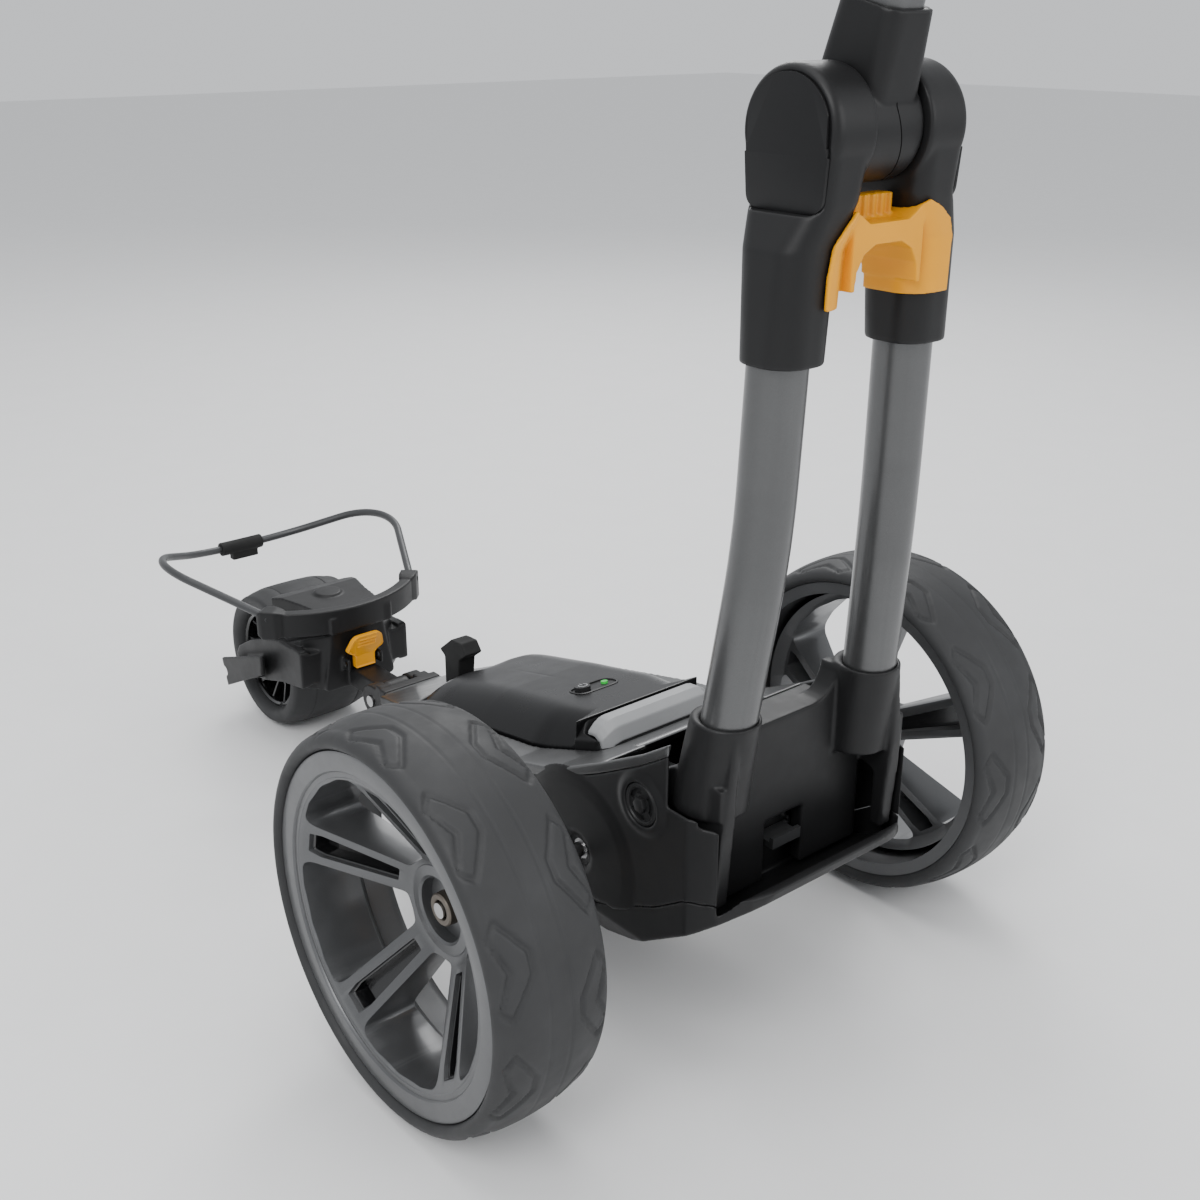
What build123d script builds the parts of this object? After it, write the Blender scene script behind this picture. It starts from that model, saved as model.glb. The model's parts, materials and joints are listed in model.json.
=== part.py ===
"""Electric golf trolley: folding frame, powered rear axle, front wheel arm, battery and handle.

Millimetres. X points forward, Y to the left, Z up. The ground is Z = 0. While it is drawn, the
rear axle lies on X = 0; every node is shifted by -X_CENTRE when it is written, so that the
origin ends at the middle of the whole trolley's footprint.
"""
import os
from math import atan2, cos, degrees, pi, radians, sin, tan

from build123d import *

# ---- Driving dimensions ------------------------------------------------------------------
X_CENTRE = 176.1  # middle of the overall length, ahead of the rear axle

# Rear wheels
AXLE_Z = 155.0
TYRE_R = 155.0
TYRE_SHOULDER_R = 150.5
WHEEL_IN = 201.0  # inner face of the tyre, from the centre plane
WHEEL_OUT = 294.0  # outer face
RIM_R = 137.3
RIM_LIP_R = 113.0
HUB_R = 36.0
HUB_FACE = 238.0
SPOKE_PAIRS = 5
SPOKE_PHASE = 13.3  # degrees from +X towards +Z
AXLE_R = 6.0
RUN = 0.05  # radial clearance of a running fit

# Drive train
MODULE = 1.5
GEAR_TEETH = 48
PINION_TEETH = 12
GEAR_W = 12.0
MOTOR_DIR = 145.0  # degrees from +X, where the motor sits round the axle
MOTOR_R = 28.0
MOTOR_L = 78.0
GEAR_Y = 16.0  # near face of the gear, left of the centre plane
MESH_R = MODULE * (GEAR_TEETH + PINION_TEETH) / 2 + 0.1  # gear centres, with a little backlash
MOTOR_X = MESH_R * cos(radians(MOTOR_DIR))
MOTOR_Z = AXLE_Z + MESH_R * sin(radians(MOTOR_DIR))

# Front wheel
FRONT_X = 632.0
FRONT_R = 79.0
FRONT_Z = FRONT_R
FRONT_SHOULDER_R = 74.0
FRONT_W = 105.0
FOLD_X, FOLD_Z = 436.0, 95.0  # hinge of the front arm
LATCH_X, LATCH_Z = 499.0, 112.0  # pivot of the front arm's latch
CRADLE_R = 119.0
WIRE_R = 4.2
LOOP_HALF = ((530, 90, 172), (541, 90, 173), (681, 156, 211), (770, 50, 166))

# Body of the chassis
BODY_HALF_W = 110.0
WALL = 3.0
WELL_HALF_W = 105.5  # space that the folding frame's foot swings in
WELL_LOW_HALF_W = 99.0  # the same, below the frame's sockets
SKIRT_Z = 233.0  # underside of the sockets
WELL_FLOOR = 235.0
BELLY_SEAM = 119.0
DECK_DEPTH = 9.0
# Outlines of the body: side view (x, z), half of the top view (x, y) and front view (y, z)
SIDE = ((-112, 294), (-73, 268), (-28, 243), (30, 214), (84, 199), (281, 166), (391, 122),
        (397, 104), (384, 86), (200, 78), (-10, 77), (-58, 99), (-128, 144), (-160, 168),
        (-164, 186), (-158, 214), (-150, 270))
PLAN = ((-164, 48), (-158, 78), (-145, 99), (-122, BODY_HALF_W), (110, BODY_HALF_W), (281, 88),
        (391, 46), (397, 38))
SECTION = ((-BODY_HALF_W, 320), (-BODY_HALF_W, 112), (-84, 70), (84, 70), (BODY_HALF_W, 112),
           (BODY_HALF_W, 320))
PEG_X = 315.0

# Folding lower frame
PIVOT_X, PIVOT_Z = -75.0, 229.0
PIVOT_R = 7.0
SWEEP_R = 95.0
TUBE_R = 20.0
TUBE_PATH = ((-118.0, 78.0, 250.0), (-138.5, 63.5, 435.0), (-143.3, 59.5, 600.0))
SOCKET_TOP = 306.0
CATCH_X, CATCH_Z = -98.0, 176.0  # pivot of the catch that holds the frame upright
SOCKET_MOUTH_R = 24.2
SOCKET_L, SOCKET_W = 55.0, 52.0  # section of a socket at its foot

# Upper hinge
EAR_X, EAR_Z = -142.0, 694.0
EAR_R = 39.0
EAR_IN, EAR_OUT = 24.5, 62.0
SLEEVE_BOTTOM = 556.0
BARREL_R = 34.0
BARREL_HALF = 23.5
HINGE_PIN_R = 8.0

# Upper stem and handle
STEM_TILT = 14.0  # degrees back from vertical
STEM_END = 300.0  # length along the stem from the hinge axis
STEM_L, STEM_W = 40.0, 34.0
GRIP_HALF_SPAN = 185.0
SOCKET_BORE_R = 8.0  # blind accessory socket in the console's nose, 24 deep

# Battery
BAT_REAR, BAT_FRONT = 20.0, 290.0
BAT_HEEL = 46.0  # the lower rear of the case steps forward to clear the gearbox
BAT_FLOOR = 126.0

BUILT = {}


# ---- Shape helpers -----------------------------------------------------------------------
def box(x, y, z):
    """A block from three (low, high) pairs."""
    size = [high - low for low, high in (x, y, z)]
    centre = [(high + low) / 2 for low, high in (x, y, z)]
    return Pos(*centre) * Box(*size)


def rod_y(x, z, r, y0, y1):
    """A cylinder along Y between y0 and y1."""
    return Pos(x, (y0 + y1) / 2, z) * Rot(-90, 0, 0) * Cylinder(r, y1 - y0)


def rod_x(y, z, r, x0, x1):
    """A cylinder along X between x0 and x1."""
    return Pos((x0 + x1) / 2, y, z) * Rot(0, 90, 0) * Cylinder(r, x1 - x0)


def rod_z(x, y, r, z0, z1):
    """A cylinder along Z between z0 and z1."""
    return Pos(x, y, (z0 + z1) / 2) * Cylinder(r, z1 - z0)


def polygon(points):
    return make_face(Polyline(*points, close=True))


def pulled(plane, face, length):
    """A flat face laid on a plane and pulled along the plane's normal."""
    return extrude(plane * face, amount=length, dir=plane.z_dir)


def side_prism(points, y0, y1, round_by=0.0):
    """A side view, points (x, z), pulled across from y0 to y1."""
    face = polygon(points)
    if round_by:
        face = fillet(face.vertices(), round_by)
    return pulled(Plane.XZ.offset(-y1), face, y1 - y0)


def plan_prism(points, z0, z1, round_by=0.0):
    """A top view, points (x, y), pulled up from z0 to z1."""
    face = polygon(points)
    if round_by:
        face = fillet(face.vertices(), round_by)
    return pulled(Plane.XY.offset(z0), face, z1 - z0)


def front_prism(points, x0, x1, round_by=0.0):
    """A front view, points (y, z), pulled along from x0 to x1."""
    face = polygon(points)
    if round_by:
        face = fillet(face.vertices(), round_by)
    return pulled(Plane.YZ.offset(x0), face, x1 - x0)


def other_side(shape):
    return mirror(shape, about=Plane.XZ)


def both_sides(shape):
    return shape + other_side(shape)


def spun(profile, x, z):
    """A solid turned about the Y line through (x, z), from points (radius, y)."""
    ring = revolve(Plane.XZ * polygon(profile), axis=Axis.Z)
    return Pos(x, 0, z) * Rot(-90, 0, 0) * ring


def round_bar(points, r, bend):
    """A round bar along straight runs joined by arcs of radius bend."""
    path = FilletPolyline(*points, radius=bend)
    start = Plane(origin=path @ 0, z_dir=path % 0)
    return sweep(start * Circle(r), path=path)


def rounded_block(x, y, z, r):
    """A block whose four upright edges are rounded."""
    block = box(x, y, z)
    return fillet(block.edges().filter_by(Axis.Z), r)


def turned_y(shape, x, z, angle):
    """The shape turned about the Y line through (x, z), by the right-hand rule."""
    return Pos(x, 0, z) * Rot(0, angle, 0) * Pos(-x, 0, -z) * shape


def keep(name, shape):
    """Store a node, as one solid or a group of separate ones."""
    solids = shape.solids()
    BUILT[name] = solids[0] if len(solids) == 1 else Compound(solids)


# ---- Rear wheels -------------------------------------------------------------------------
def tyre():
    """Foam-filled tyre with a low crown and rounded shoulders."""
    middle = (WHEEL_IN + WHEEL_OUT) / 2
    half = (WHEEL_OUT - WHEEL_IN) / 2
    rows = ((half - 5, RIM_R + 8), (half, RIM_R + 4), (half - 1, TYRE_SHOULDER_R - 5),
            (half - 5, TYRE_SHOULDER_R), (half - 20, TYRE_R - 1.2), (half - 34, TYRE_R))
    outline = [(RIM_R, middle + half - 5)]
    outline += [(r, middle + y) for y, r in rows]
    outline += [(r, middle - y) for y, r in reversed(rows)]
    outline += [(RIM_R, middle - half + 5)]
    solid = spun(outline, 0, AXLE_Z)
    for offset in (-9, 9):
        solid -= spun([(TYRE_R - 1.5, middle + offset - 1), (TYRE_R + 2, middle + offset - 1),
                       (TYRE_R + 2, middle + offset + 1), (TYRE_R - 1.5, middle + offset + 1)],
                      0, AXLE_Z)
    return solid


def spoke(side_shift, spread):
    """One bar of a spoke pair, along +X, before it is turned into its place."""
    side = [(HUB_R - 8, HUB_FACE - 18), (HUB_R - 8, HUB_FACE - 3), (HUB_R + 10, HUB_FACE + 2),
            (RIM_LIP_R + 6, WHEEL_OUT - 9), (RIM_LIP_R + 6, WHEEL_OUT - 34)]
    return Rot(0, 0, spread) * Pos(0, side_shift, 0) * side_prism(side, -5, 5)


def wheel_star(piece):
    """Five copies of a piece drawn along +X with its depth along Z, placed round the axle."""
    placed = []
    for k in range(SPOKE_PAIRS):
        angle = SPOKE_PHASE + 360 / SPOKE_PAIRS * k
        placed.append(Pos(0, 0, AXLE_Z) * Rot(-90, 0, 0) * Rot(0, 0, -angle) * piece)
    return placed


def rim():
    """Cast rim: barrel, outer lip, recessed hub and five pairs of raked spokes."""
    solid = spun([(RIM_R, WHEEL_IN + 5), (RIM_R, WHEEL_OUT - 5), (RIM_R - 3, WHEEL_OUT - 2),
                  (RIM_LIP_R + 3, WHEEL_OUT - 4), (RIM_LIP_R, WHEEL_OUT - 8),
                  (RIM_LIP_R + 4, WHEEL_OUT - 14), (RIM_R - 9, WHEEL_OUT - 34),
                  (RIM_R - 8, WHEEL_IN + 5)], 0, AXLE_Z)
    solid += spun([(9, WHEEL_IN + 6), (9, HUB_FACE - 8), (22, HUB_FACE - 8), (23, HUB_FACE - 2),
                   (HUB_R - 4, HUB_FACE), (HUB_R, HUB_FACE - 6), (HUB_R - 5, HUB_FACE - 20),
                   (HUB_R - 11, WHEEL_IN + 6)], 0, AXLE_Z)
    pair = spoke(7, 3.4) + spoke(-7, -3.4)
    for piece in wheel_star(pair):
        solid += piece
    return solid


def spoke_inserts():
    """Gloss black wedges that line the pockets between the two bars of each pair."""
    side = [(HUB_R + 16, HUB_FACE - 8), (HUB_R + 16, HUB_FACE - 2), (RIM_LIP_R - 4, WHEEL_OUT - 17),
            (RIM_LIP_R - 4, WHEEL_OUT - 26)]
    wedge = side_prism(side, -8, 8)
    wedge -= spoke(7, 3.4)
    wedge -= spoke(-7, -3.4)
    wedge = max(wedge.solids(), key=lambda s: -abs(s.center().Y))
    return Compound(wheel_star(wedge))


def make_wheels():
    left_tyre = tyre()
    left_rim = rim()
    left_inserts = spoke_inserts()
    keep("tyre_left", left_tyre)
    keep("tyre_right", other_side(left_tyre))
    keep("rim_left", left_rim)
    keep("rim_right", other_side(left_rim))
    keep("spoke_inserts", Compound(left_inserts.solids() + other_side(left_inserts).solids()))
    bush = rod_y(0, AXLE_Z, 9, WHEEL_IN + 6, HUB_FACE - 8)
    bush += rod_y(0, AXLE_Z, 14, HUB_FACE - 8, HUB_FACE - 3)
    keep("hub_bushes", both_sides(bush - rod_y(0, AXLE_Z, AXLE_R, 0, 300)))
    collar = rod_y(0, AXLE_Z, 22, WHEEL_IN - 24, WHEEL_IN + 5.5) - rod_y(0, AXLE_Z, AXLE_R, 0, 300)
    collar -= box((-9.5, 9.5), (WHEEL_IN - 19, WHEEL_IN + 6), (AXLE_Z - 30, AXLE_Z - 10))
    keep("hub_collars", both_sides(collar))
    release = box((-9, 9), (WHEEL_IN - 18.5, WHEEL_IN + 2), (AXLE_Z - 34, AXLE_Z - 15))
    release += box((-9, 9), (WHEEL_IN - 4, WHEEL_IN + 20), (AXLE_Z - 46, AXLE_Z - 40))
    release += box((-9, 9), (WHEEL_IN - 4, WHEEL_IN + 2), (AXLE_Z - 41, AXLE_Z - 33))
    keep("wheel_release_left", release)
    keep("wheel_release_right", other_side(release))


# ---- Drive train -------------------------------------------------------------------------
def toothed_disc(teeth, width, phase):
    """A spur gear with straight-flanked teeth, drawn round Z."""
    pitch_r = MODULE * teeth / 2
    tip_r = pitch_r + 0.75 * MODULE
    root_r = pitch_r - 1.0 * MODULE
    step = 2 * pi / teeth
    outline = []
    for k in range(teeth):
        middle = phase + k * step
        for share, radius in ((-0.32, root_r), (-0.13, tip_r), (0.13, tip_r), (0.32, root_r)):
            angle = middle + share * step
            outline.append((radius * cos(angle), radius * sin(angle)))
    return pulled(Plane.XY, polygon(outline), width)


def laid_on_y(shape, x, y, z):
    """A shape drawn round Z, laid along Y with its base at y."""
    return Pos(x, y, z) * Rot(-90, 0, 0) * shape


def make_drive():
    # Drawn round Z and laid along Y, an angle a in the drawing points to -a in the side view.
    towards_motor = -radians(MOTOR_DIR)
    gear = toothed_disc(GEAR_TEETH, GEAR_W, towards_motor)
    gear = laid_on_y(gear, 0, GEAR_Y, AXLE_Z)
    hub = rod_y(0, AXLE_Z, 14, GEAR_Y - 5, GEAR_Y + GEAR_W + 5)
    keep("drive_gear", gear + hub - rod_y(0, AXLE_Z, AXLE_R, -300, 300))
    keep("rear_axle", rod_y(0, AXLE_Z, AXLE_R, -HUB_FACE - 1, HUB_FACE + 1))
    gap_phase = towards_motor + pi + pi / PINION_TEETH
    pinion = laid_on_y(toothed_disc(PINION_TEETH, GEAR_W + 2, gap_phase), MOTOR_X, GEAR_Y - 1, MOTOR_Z)
    shaft = rod_y(MOTOR_X, MOTOR_Z, 4, GEAR_Y - MOTOR_L + 10, GEAR_Y + GEAR_W + 4)
    armature = rod_y(MOTOR_X, MOTOR_Z, 17, GEAR_Y - MOTOR_L + 16, GEAR_Y - 20)
    keep("motor_armature", pinion + shaft + armature)
    can = rod_y(MOTOR_X, MOTOR_Z, MOTOR_R, GEAR_Y - MOTOR_L - 2, GEAR_Y - 7)
    can -= rod_y(MOTOR_X, MOTOR_Z, 19, GEAR_Y - MOTOR_L + 13, GEAR_Y - 17)
    can -= rod_y(MOTOR_X, MOTOR_Z, 4 + RUN, GEAR_Y - MOTOR_L + 6, GEAR_Y)
    keep("motor_can", can)
    keep_gearbox()
    bearing = rod_y(0, AXLE_Z, 13, 96, 106) - rod_y(0, AXLE_Z, AXLE_R + RUN, 0, 300)
    keep("axle_bearings", both_sides(bearing))


def keep_gearbox():
    """Two shells that close round the gear pair, parted at the gear's middle."""
    low, middle, high = GEAR_Y - 7, GEAR_Y + GEAR_W / 2, GEAR_Y + GEAR_W + 7
    gear_r = MODULE * GEAR_TEETH / 2 + 1.4 * MODULE
    pinion_r = MODULE * PINION_TEETH / 2 + 1.4 * MODULE + 1
    outer = rod_y(0, AXLE_Z, gear_r + 3, low, high) + rod_y(MOTOR_X, MOTOR_Z, pinion_r + 4, low, high)
    inner = rod_y(0, AXLE_Z, gear_r, low + 2, high - 1.5)
    inner += rod_y(MOTOR_X, MOTOR_Z, pinion_r, low + 2, high - 1.5)
    shell = outer - inner - rod_y(0, AXLE_Z, AXLE_R + 0.6, -300, 300)
    shell -= rod_y(MOTOR_X, MOTOR_Z, 5, low - 5, low + 5)
    half = box((-200, 200), (middle, high + 5), (0, 400))
    keep("gearbox_left", shell & half)
    keep("gearbox_right", shell - half)


# ---- Chassis body ------------------------------------------------------------------------
def inset(face, by):
    return offset(face, amount=-by, kind=Kind.INTERSECTION) if by else face


def body_block(by=0.0):
    """The chassis body as one block, or its inside when by is the wall's thickness."""
    side = pulled(Plane.XZ.offset(-200), inset(polygon(SIDE), by), 400)
    outline = list(PLAN) + [(x, -y) for x, y in reversed(PLAN)]
    plan = pulled(Plane.XY, inset(polygon(outline), by), 400)
    section = pulled(Plane.YZ.offset(-300), inset(polygon(SECTION), by), 800)
    return side & plan & section


def swing_well():
    """The space swept by the foot of the folding frame."""
    floor = [(12, WELL_FLOOR), (-52, WELL_FLOOR), (-56, 208), (-97, 208), (-97, 150)]
    arc = []
    for step in range(7):
        angle = radians(240 - 10 * step)
        arc.append((PIVOT_X + SWEEP_R * cos(angle), PIVOT_Z + SWEEP_R * sin(angle)))
    outline = floor + arc + [(-220, PIVOT_Z), (-220, 330), (12, 330)]
    well = side_prism(outline, -WELL_HALF_W, WELL_HALF_W)
    for side in (1, -1):
        low, high = sorted((side * WELL_LOW_HALF_W, side * 120))
        well -= box((-220, -90), (low, high), (0, SKIRT_Z - 1))
        low, high = sorted((side * 64, side * 120))
        well -= box((-28, 20), (low, high), (200, 330))
    return well


def battery_plan(grow=0.0):
    half = ((BAT_REAR, 60), (98, 77), (255, 74), (BAT_FRONT - 12, 67), (BAT_FRONT, 50))
    outline = list(half) + [(x, -y) for x, y in reversed(half)]
    face = polygon(outline)
    if grow:
        face = offset(face, amount=grow, kind=Kind.INTERSECTION)
    return face


def shell_pieces():
    """The chassis body's shells: deck, two side covers, belly pan and front shell."""
    skin = body_block() - body_block(WALL)
    skin -= box((-220, -101), (-200, 200), (237, 330))
    skin -= swing_well()
    skin -= pulled(Plane.XY.offset(BAT_FLOOR - 6), battery_plan(2.0), 200)
    skin -= rod_y(0, AXLE_Z, 14, -200, 200)
    top = [(x, z + 30) for x, z in SIDE[:7]]
    under = [(x, z - DECK_DEPTH) for x, z in reversed(SIDE[:7])]
    deck_zone = side_prism([(-150, 330)] + top + [(450, 152), (450, 112)] + under + [(-150, 290)],
                           -200, 200)
    seam = [(-220, 197), (-147, 197), (-146, 172), (-120, 169), (-89, 148), (-25, BELLY_SEAM),
            (450, BELLY_SEAM - 10), (450, 0), (-220, 0)]
    belly_zone = side_prism(seam, -200, 200)
    deck = skin & deck_zone
    belly = (skin - deck_zone) & belly_zone
    sides = skin - deck_zone - belly_zone
    left = sides & box((-300, 130), (0, 200), (0, 400))
    right = sides & box((-300, 130), (-200, 0), (0, 400))
    front = sides & box((130, 500), (-200, 200), (0, 400))
    return deck, belly, left, right, front


def make_chassis():
    deck, belly, left, right, front = shell_pieces()
    nose = box((388, 414), (-34, 34), (90, 118)) + box((404, 426), (-30, 30), (78, 116))
    nose += rod_y(FOLD_X, FOLD_Z, 17, -30, 30) + box((410, FOLD_X), (-30, 30), (FOLD_Z - 17, FOLD_Z + 17))
    nose -= rod_y(FOLD_X, FOLD_Z, 20, -14.5, 14.5)
    nose -= box((FOLD_X - 22, FOLD_X + 30), (-14.5, 14.5), (FOLD_Z - 30, FOLD_Z + 30))
    nose -= rod_y(FOLD_X, FOLD_Z, 6, -60, 60)
    deck_body = deck + (nose - body_block())
    keep("deck_frame", deck_body)
    bulkhead = box((-95.5, -92.5), (-103, 103), (100, 207)) & body_block(1)
    lugs = both_sides(box((-101, -92.5), (17.6, 22), (170, 182)))
    sweep = rod_y(PIVOT_X, PIVOT_Z, SWEEP_R + 3, -98.5, 98.5) - rod_y(PIVOT_X, PIVOT_Z, SWEEP_R, -99, 99)
    sweep &= box((-170, -92.5), (-110, 110), (100, 186))
    belly += bulkhead + lugs + (sweep & body_block(1))
    belly -= box((-200, -146), (-150, 150), (176, 230))
    belly -= rod_y(CATCH_X, CATCH_Z, 2 + RUN, -30, 30)
    for hole in screw_holes().solids():
        belly -= hole
    keep("belly_pan", belly)
    boss = rod_y(PIVOT_X, PIVOT_Z, 15, 98.5, BODY_HALF_W - WALL)
    bolt_hole = rod_y(PIVOT_X, PIVOT_Z, PIVOT_R, 60, 200)
    head_recess = rod_y(PIVOT_X, PIVOT_Z, 17, BODY_HALF_W - 2, BODY_HALF_W + 5)
    seat = rod_y(0, AXLE_Z, 17, 98, BODY_HALF_W - WALL) - rod_y(0, AXLE_Z, 13, 90, 106)
    seat -= rod_y(0, AXLE_Z, 8, 90, 120)
    left += boss + seat
    left -= bolt_hole
    left -= head_recess
    right += other_side(boss + seat)
    right -= other_side(bolt_hole)
    right -= other_side(head_recess)
    keep("side_cover_left", left)
    keep("side_cover_right", right)
    keep("front_shell", front)
    bolt = rod_y(PIVOT_X, PIVOT_Z, PIVOT_R, 82, BODY_HALF_W - 2)
    bolt += rod_y(PIVOT_X, PIVOT_Z, 15, BODY_HALF_W - 2, BODY_HALF_W + 1)
    bolt -= rod_y(PIVOT_X, PIVOT_Z, 4, BODY_HALF_W - 3, BODY_HALF_W + 2)
    keep("pivot_bolts", both_sides(bolt))
    make_tray()
    keep("fold_pin", rod_y(FOLD_X, FOLD_Z, 6, -32, 32))
    peg_side = [(-9, 150), (12, 150), (12, 178), (20, 183), (0, 199), (-17, 200), (-25, 190), (-13, 181)]
    peg = side_prism([(PEG_X + x, z) for x, z in peg_side], -9.5, 9.5, 1.2)
    keep("bumper_peg", peg - body_block())
    controller = box((-16, 74), (-55, 55), (84, 98)) + box((-6, 64), (-45, 45), (98, 104))
    keep("motor_controller", controller)


def make_tray():
    """Open tray that the battery drops into, with its plug and the shell's screws."""
    outer = pulled(Plane.XY.offset(BAT_FLOOR - 4), battery_plan(1.8), 200)
    outer -= box((-100, BAT_HEEL - 2), (-150, 150), (0, 400))
    inner = pulled(Plane.XY.offset(BAT_FLOOR - 0.5), battery_plan(0.6), 200)
    inner -= box((-100, BAT_HEEL - 0.5), (-150, 150), (0, 400))
    below_deck = side_prism([(0, 100), (0, 196), (84, 185), (281, 154), (300, 146), (300, 100)], -150, 150)
    tray = (outer - inner) & below_deck
    tray -= box((250, 262), (-16, 16), (100, 200))
    keep("battery_tray", tray)
    plug = box((250.5, 261.5), (-15.5, 15.5), (108, BAT_FLOOR + 6))
    keep("battery_plug", plug)
    screws = []
    for x in (0, 90, 180):
        screws.append(both_sides(rod_z(x, 60, 4, 78.2, 80.4) + rod_z(x, 60, 2, 80.4, 92)))
    keep("belly_screws", Compound([solid for pair in screws for solid in pair.solids()]))


def screw_holes():
    """Counterbored holes for the belly's screws."""
    holes = [rod_z(x, y, 4.1, 70, 80.4) + rod_z(x, y, 2.05, 70, 95)
             for x in (0, 90, 180) for y in (-60, 60)]
    return Compound(holes)


# ---- Battery -----------------------------------------------------------------------------
def battery_top(drop=0.0):
    """Side view of the battery: a flat base and a top that slopes down to the front."""
    return [(BAT_HEEL, BAT_FLOOR), (BAT_HEEL, 199), (0, 206), (0, 236 - drop), (47, 232 - drop),
            (175, 209 - drop), (262, 189 - drop), (294, 178 - drop), (294, BAT_FLOOR)]


def make_battery():
    block = pulled(Plane.XY.offset(BAT_FLOOR), battery_plan(), 200)
    block &= side_prism(battery_top(), -150, 150)
    crown = [(-90, 100), (-90, 185), (-77, 203), (-56, 229), (-30, 240), (30, 240), (56, 229),
             (77, 203), (90, 185), (90, 100)]
    block &= front_prism(crown, -10, 320)
    block -= box((250, 262), (-16, 16), (100, BAT_FLOOR + 8))
    hollow = pulled(Plane.XY.offset(BAT_FLOOR + 3), battery_plan(-3), 200)
    hollow -= box((-100, BAT_HEEL + 3), (-150, 150), (0, 400))
    hollow &= side_prism(battery_top(6), -150, 150)
    hollow &= front_prism([(y * 0.95, z - 4) for y, z in crown], -10, 320)
    hollow -= box((246, 266), (-20, 20), (100, BAT_FLOOR + 12))
    hollow -= box((0, 66), (-100, 100), (200, 300))
    split = side_prism([(-10, 100), (-10, 197), (84, 186), (320, 150), (320, 100)], -150, 150)
    pocket = side_prism([(0, 222), (44, 212), (60, 240), (0, 260)], -62, 62)
    shell = block - hollow
    lower = shell & split
    upper = shell - split - pocket
    led = Pos(112, -12, 220.5) * Rot(0, 10, 0) * Cylinder(3, 4)
    button_x, button_y = 112.0, 12.0
    button = Pos(button_x, button_y, 220.5) * Rot(0, 10, 0) * Cylinder(7, 9)
    socket = Pos(button_x, button_y, 220.5) * Rot(0, 10, 0) * Cylinder(7.4, 60)
    upper -= socket
    upper -= led
    keep("battery_base", lower)
    keep("battery_lid", upper)
    keep("battery_led", led)
    keep("power_button", button)
    handle_side = [(23, 214), (52, 208), (56, 214), (44, 232), (23, 236)]
    handle = side_prism(handle_side, -61, 61)
    handle -= side_prism([(20, 200), (34, 200), (38, 222), (20, 226)], -46, 46)
    keep("battery_handle", handle - shell)
    cells = []
    for column in range(4):
        for row in (-1, 0, 1):
            cells.append(rod_z(80 + 38 * column, 44 * row, 16, BAT_FLOOR + 3.5, 190 - 8 * column))
    keep("battery_cells", Compound(cells))


# ---- Folding lower frame -----------------------------------------------------------------
def lower_tube(r=TUBE_R):
    return round_bar(TUBE_PATH, r, 900)


def socket():
    """Oval cup at the foot of a lower tube."""
    foot = Plane(origin=(-111, 77, SKIRT_Z)) * RectangleRounded(SOCKET_L, SOCKET_W, 25)
    waist = Plane(origin=(-115, 76.5, 262)) * RectangleRounded(SOCKET_L - 2, SOCKET_W - 1, 24.5)
    mouth = Plane(origin=(-121.5, 74, SOCKET_TOP)) * RectangleRounded(
        2 * SOCKET_MOUTH_R + 2, 2 * SOCKET_MOUTH_R, SOCKET_MOUTH_R - 0.5)
    return loft([foot, waist, mouth])


def make_bracket():
    """The frame's foot: two sockets, the web and ribs between them, and the pivot lugs."""
    half = socket()
    cheek_side = [(-142, 238), (-142, 262), (-92, 262), (-62, 243), (-57, 229), (-66, 214),
                  (-84, 213), (-96, 224)]
    cheek = side_prism(cheek_side, 86, 97)
    rib = side_prism([(-144, 298), (-125, 298), (-101, 233), (-101, 222), (-127, 210), (-127, 164),
                      (-138, 164), (-144, 240)], 83, 96)
    rib &= front_prism([(60, 310), (86, 310), (96, 222), (96, 150), (83, 150), (83, 222), (60, 300)],
                       -160, -90)
    half += cheek
    half += rib
    web = box((-113, -101), (-84, 84), (146, 240))
    web += box((-113, -101), (-58, 58), (230, 280))
    web += box((-113, -90), (-52, 52), (262, 280))
    web -= side_prism([(-130, 140), (-130, 197), (-90, 197), (-90, 140)], -20, 20)
    bracket = both_sides(half) + web
    for tube in (lower_tube(TUBE_R + 0.01), other_side(lower_tube(TUBE_R + 0.01))):
        bracket -= tube
    bore = rod_y(PIVOT_X, PIVOT_Z, PIVOT_R + RUN, -200, 200)
    keep("frame_foot", bracket - bore)


def sleeve_section(z, x, y, length, width, r):
    return Plane(origin=(x, y, z)) * RectangleRounded(length, width, r)


def sleeve_loft(grow):
    """The sleeve's outside, or the same pushed out by grow."""
    ear_y = (EAR_IN + EAR_OUT) / 2
    rows = ((SLEEVE_BOTTOM - 2 * grow, -144, 59.5, 50, 48, 20), (626, -143.5, 57, 55, 46, 18),
            (654, -142.5, ear_y + 2, 66, 41, 13), (EAR_Z, EAR_X, ear_y, 2 * EAR_R - 1, 37, 8))
    return loft([sleeve_section(z, x, y, length + 2 * grow, width + 2 * grow, r + grow)
                 for z, x, y, length, width, r in rows], ruled=True)


def upper_joint():
    """Left sleeve and ear: a cup over the tube's end that rises into a round hinge cheek."""
    sleeve = sleeve_loft(0)
    ear = rod_y(EAR_X, EAR_Z, EAR_R, EAR_IN, EAR_OUT)
    rims = ear.edges().filter_by(GeomType.CIRCLE)
    ear = fillet(rims.sort_by(Axis.Y)[-1], 7)
    ear = fillet(ear.edges().filter_by(GeomType.CIRCLE).sort_by(Axis.Y)[0], 2)
    joint = sleeve + ear
    joint -= box((-220, -60), (-EAR_IN, EAR_IN), (600, 760))
    joint -= cover_plate(0.3, EAR_OUT - 2, EAR_OUT + 20)
    joint -= rod_y(EAR_X, EAR_Z, HINGE_PIN_R, 0, EAR_OUT - 6)
    return joint


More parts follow.
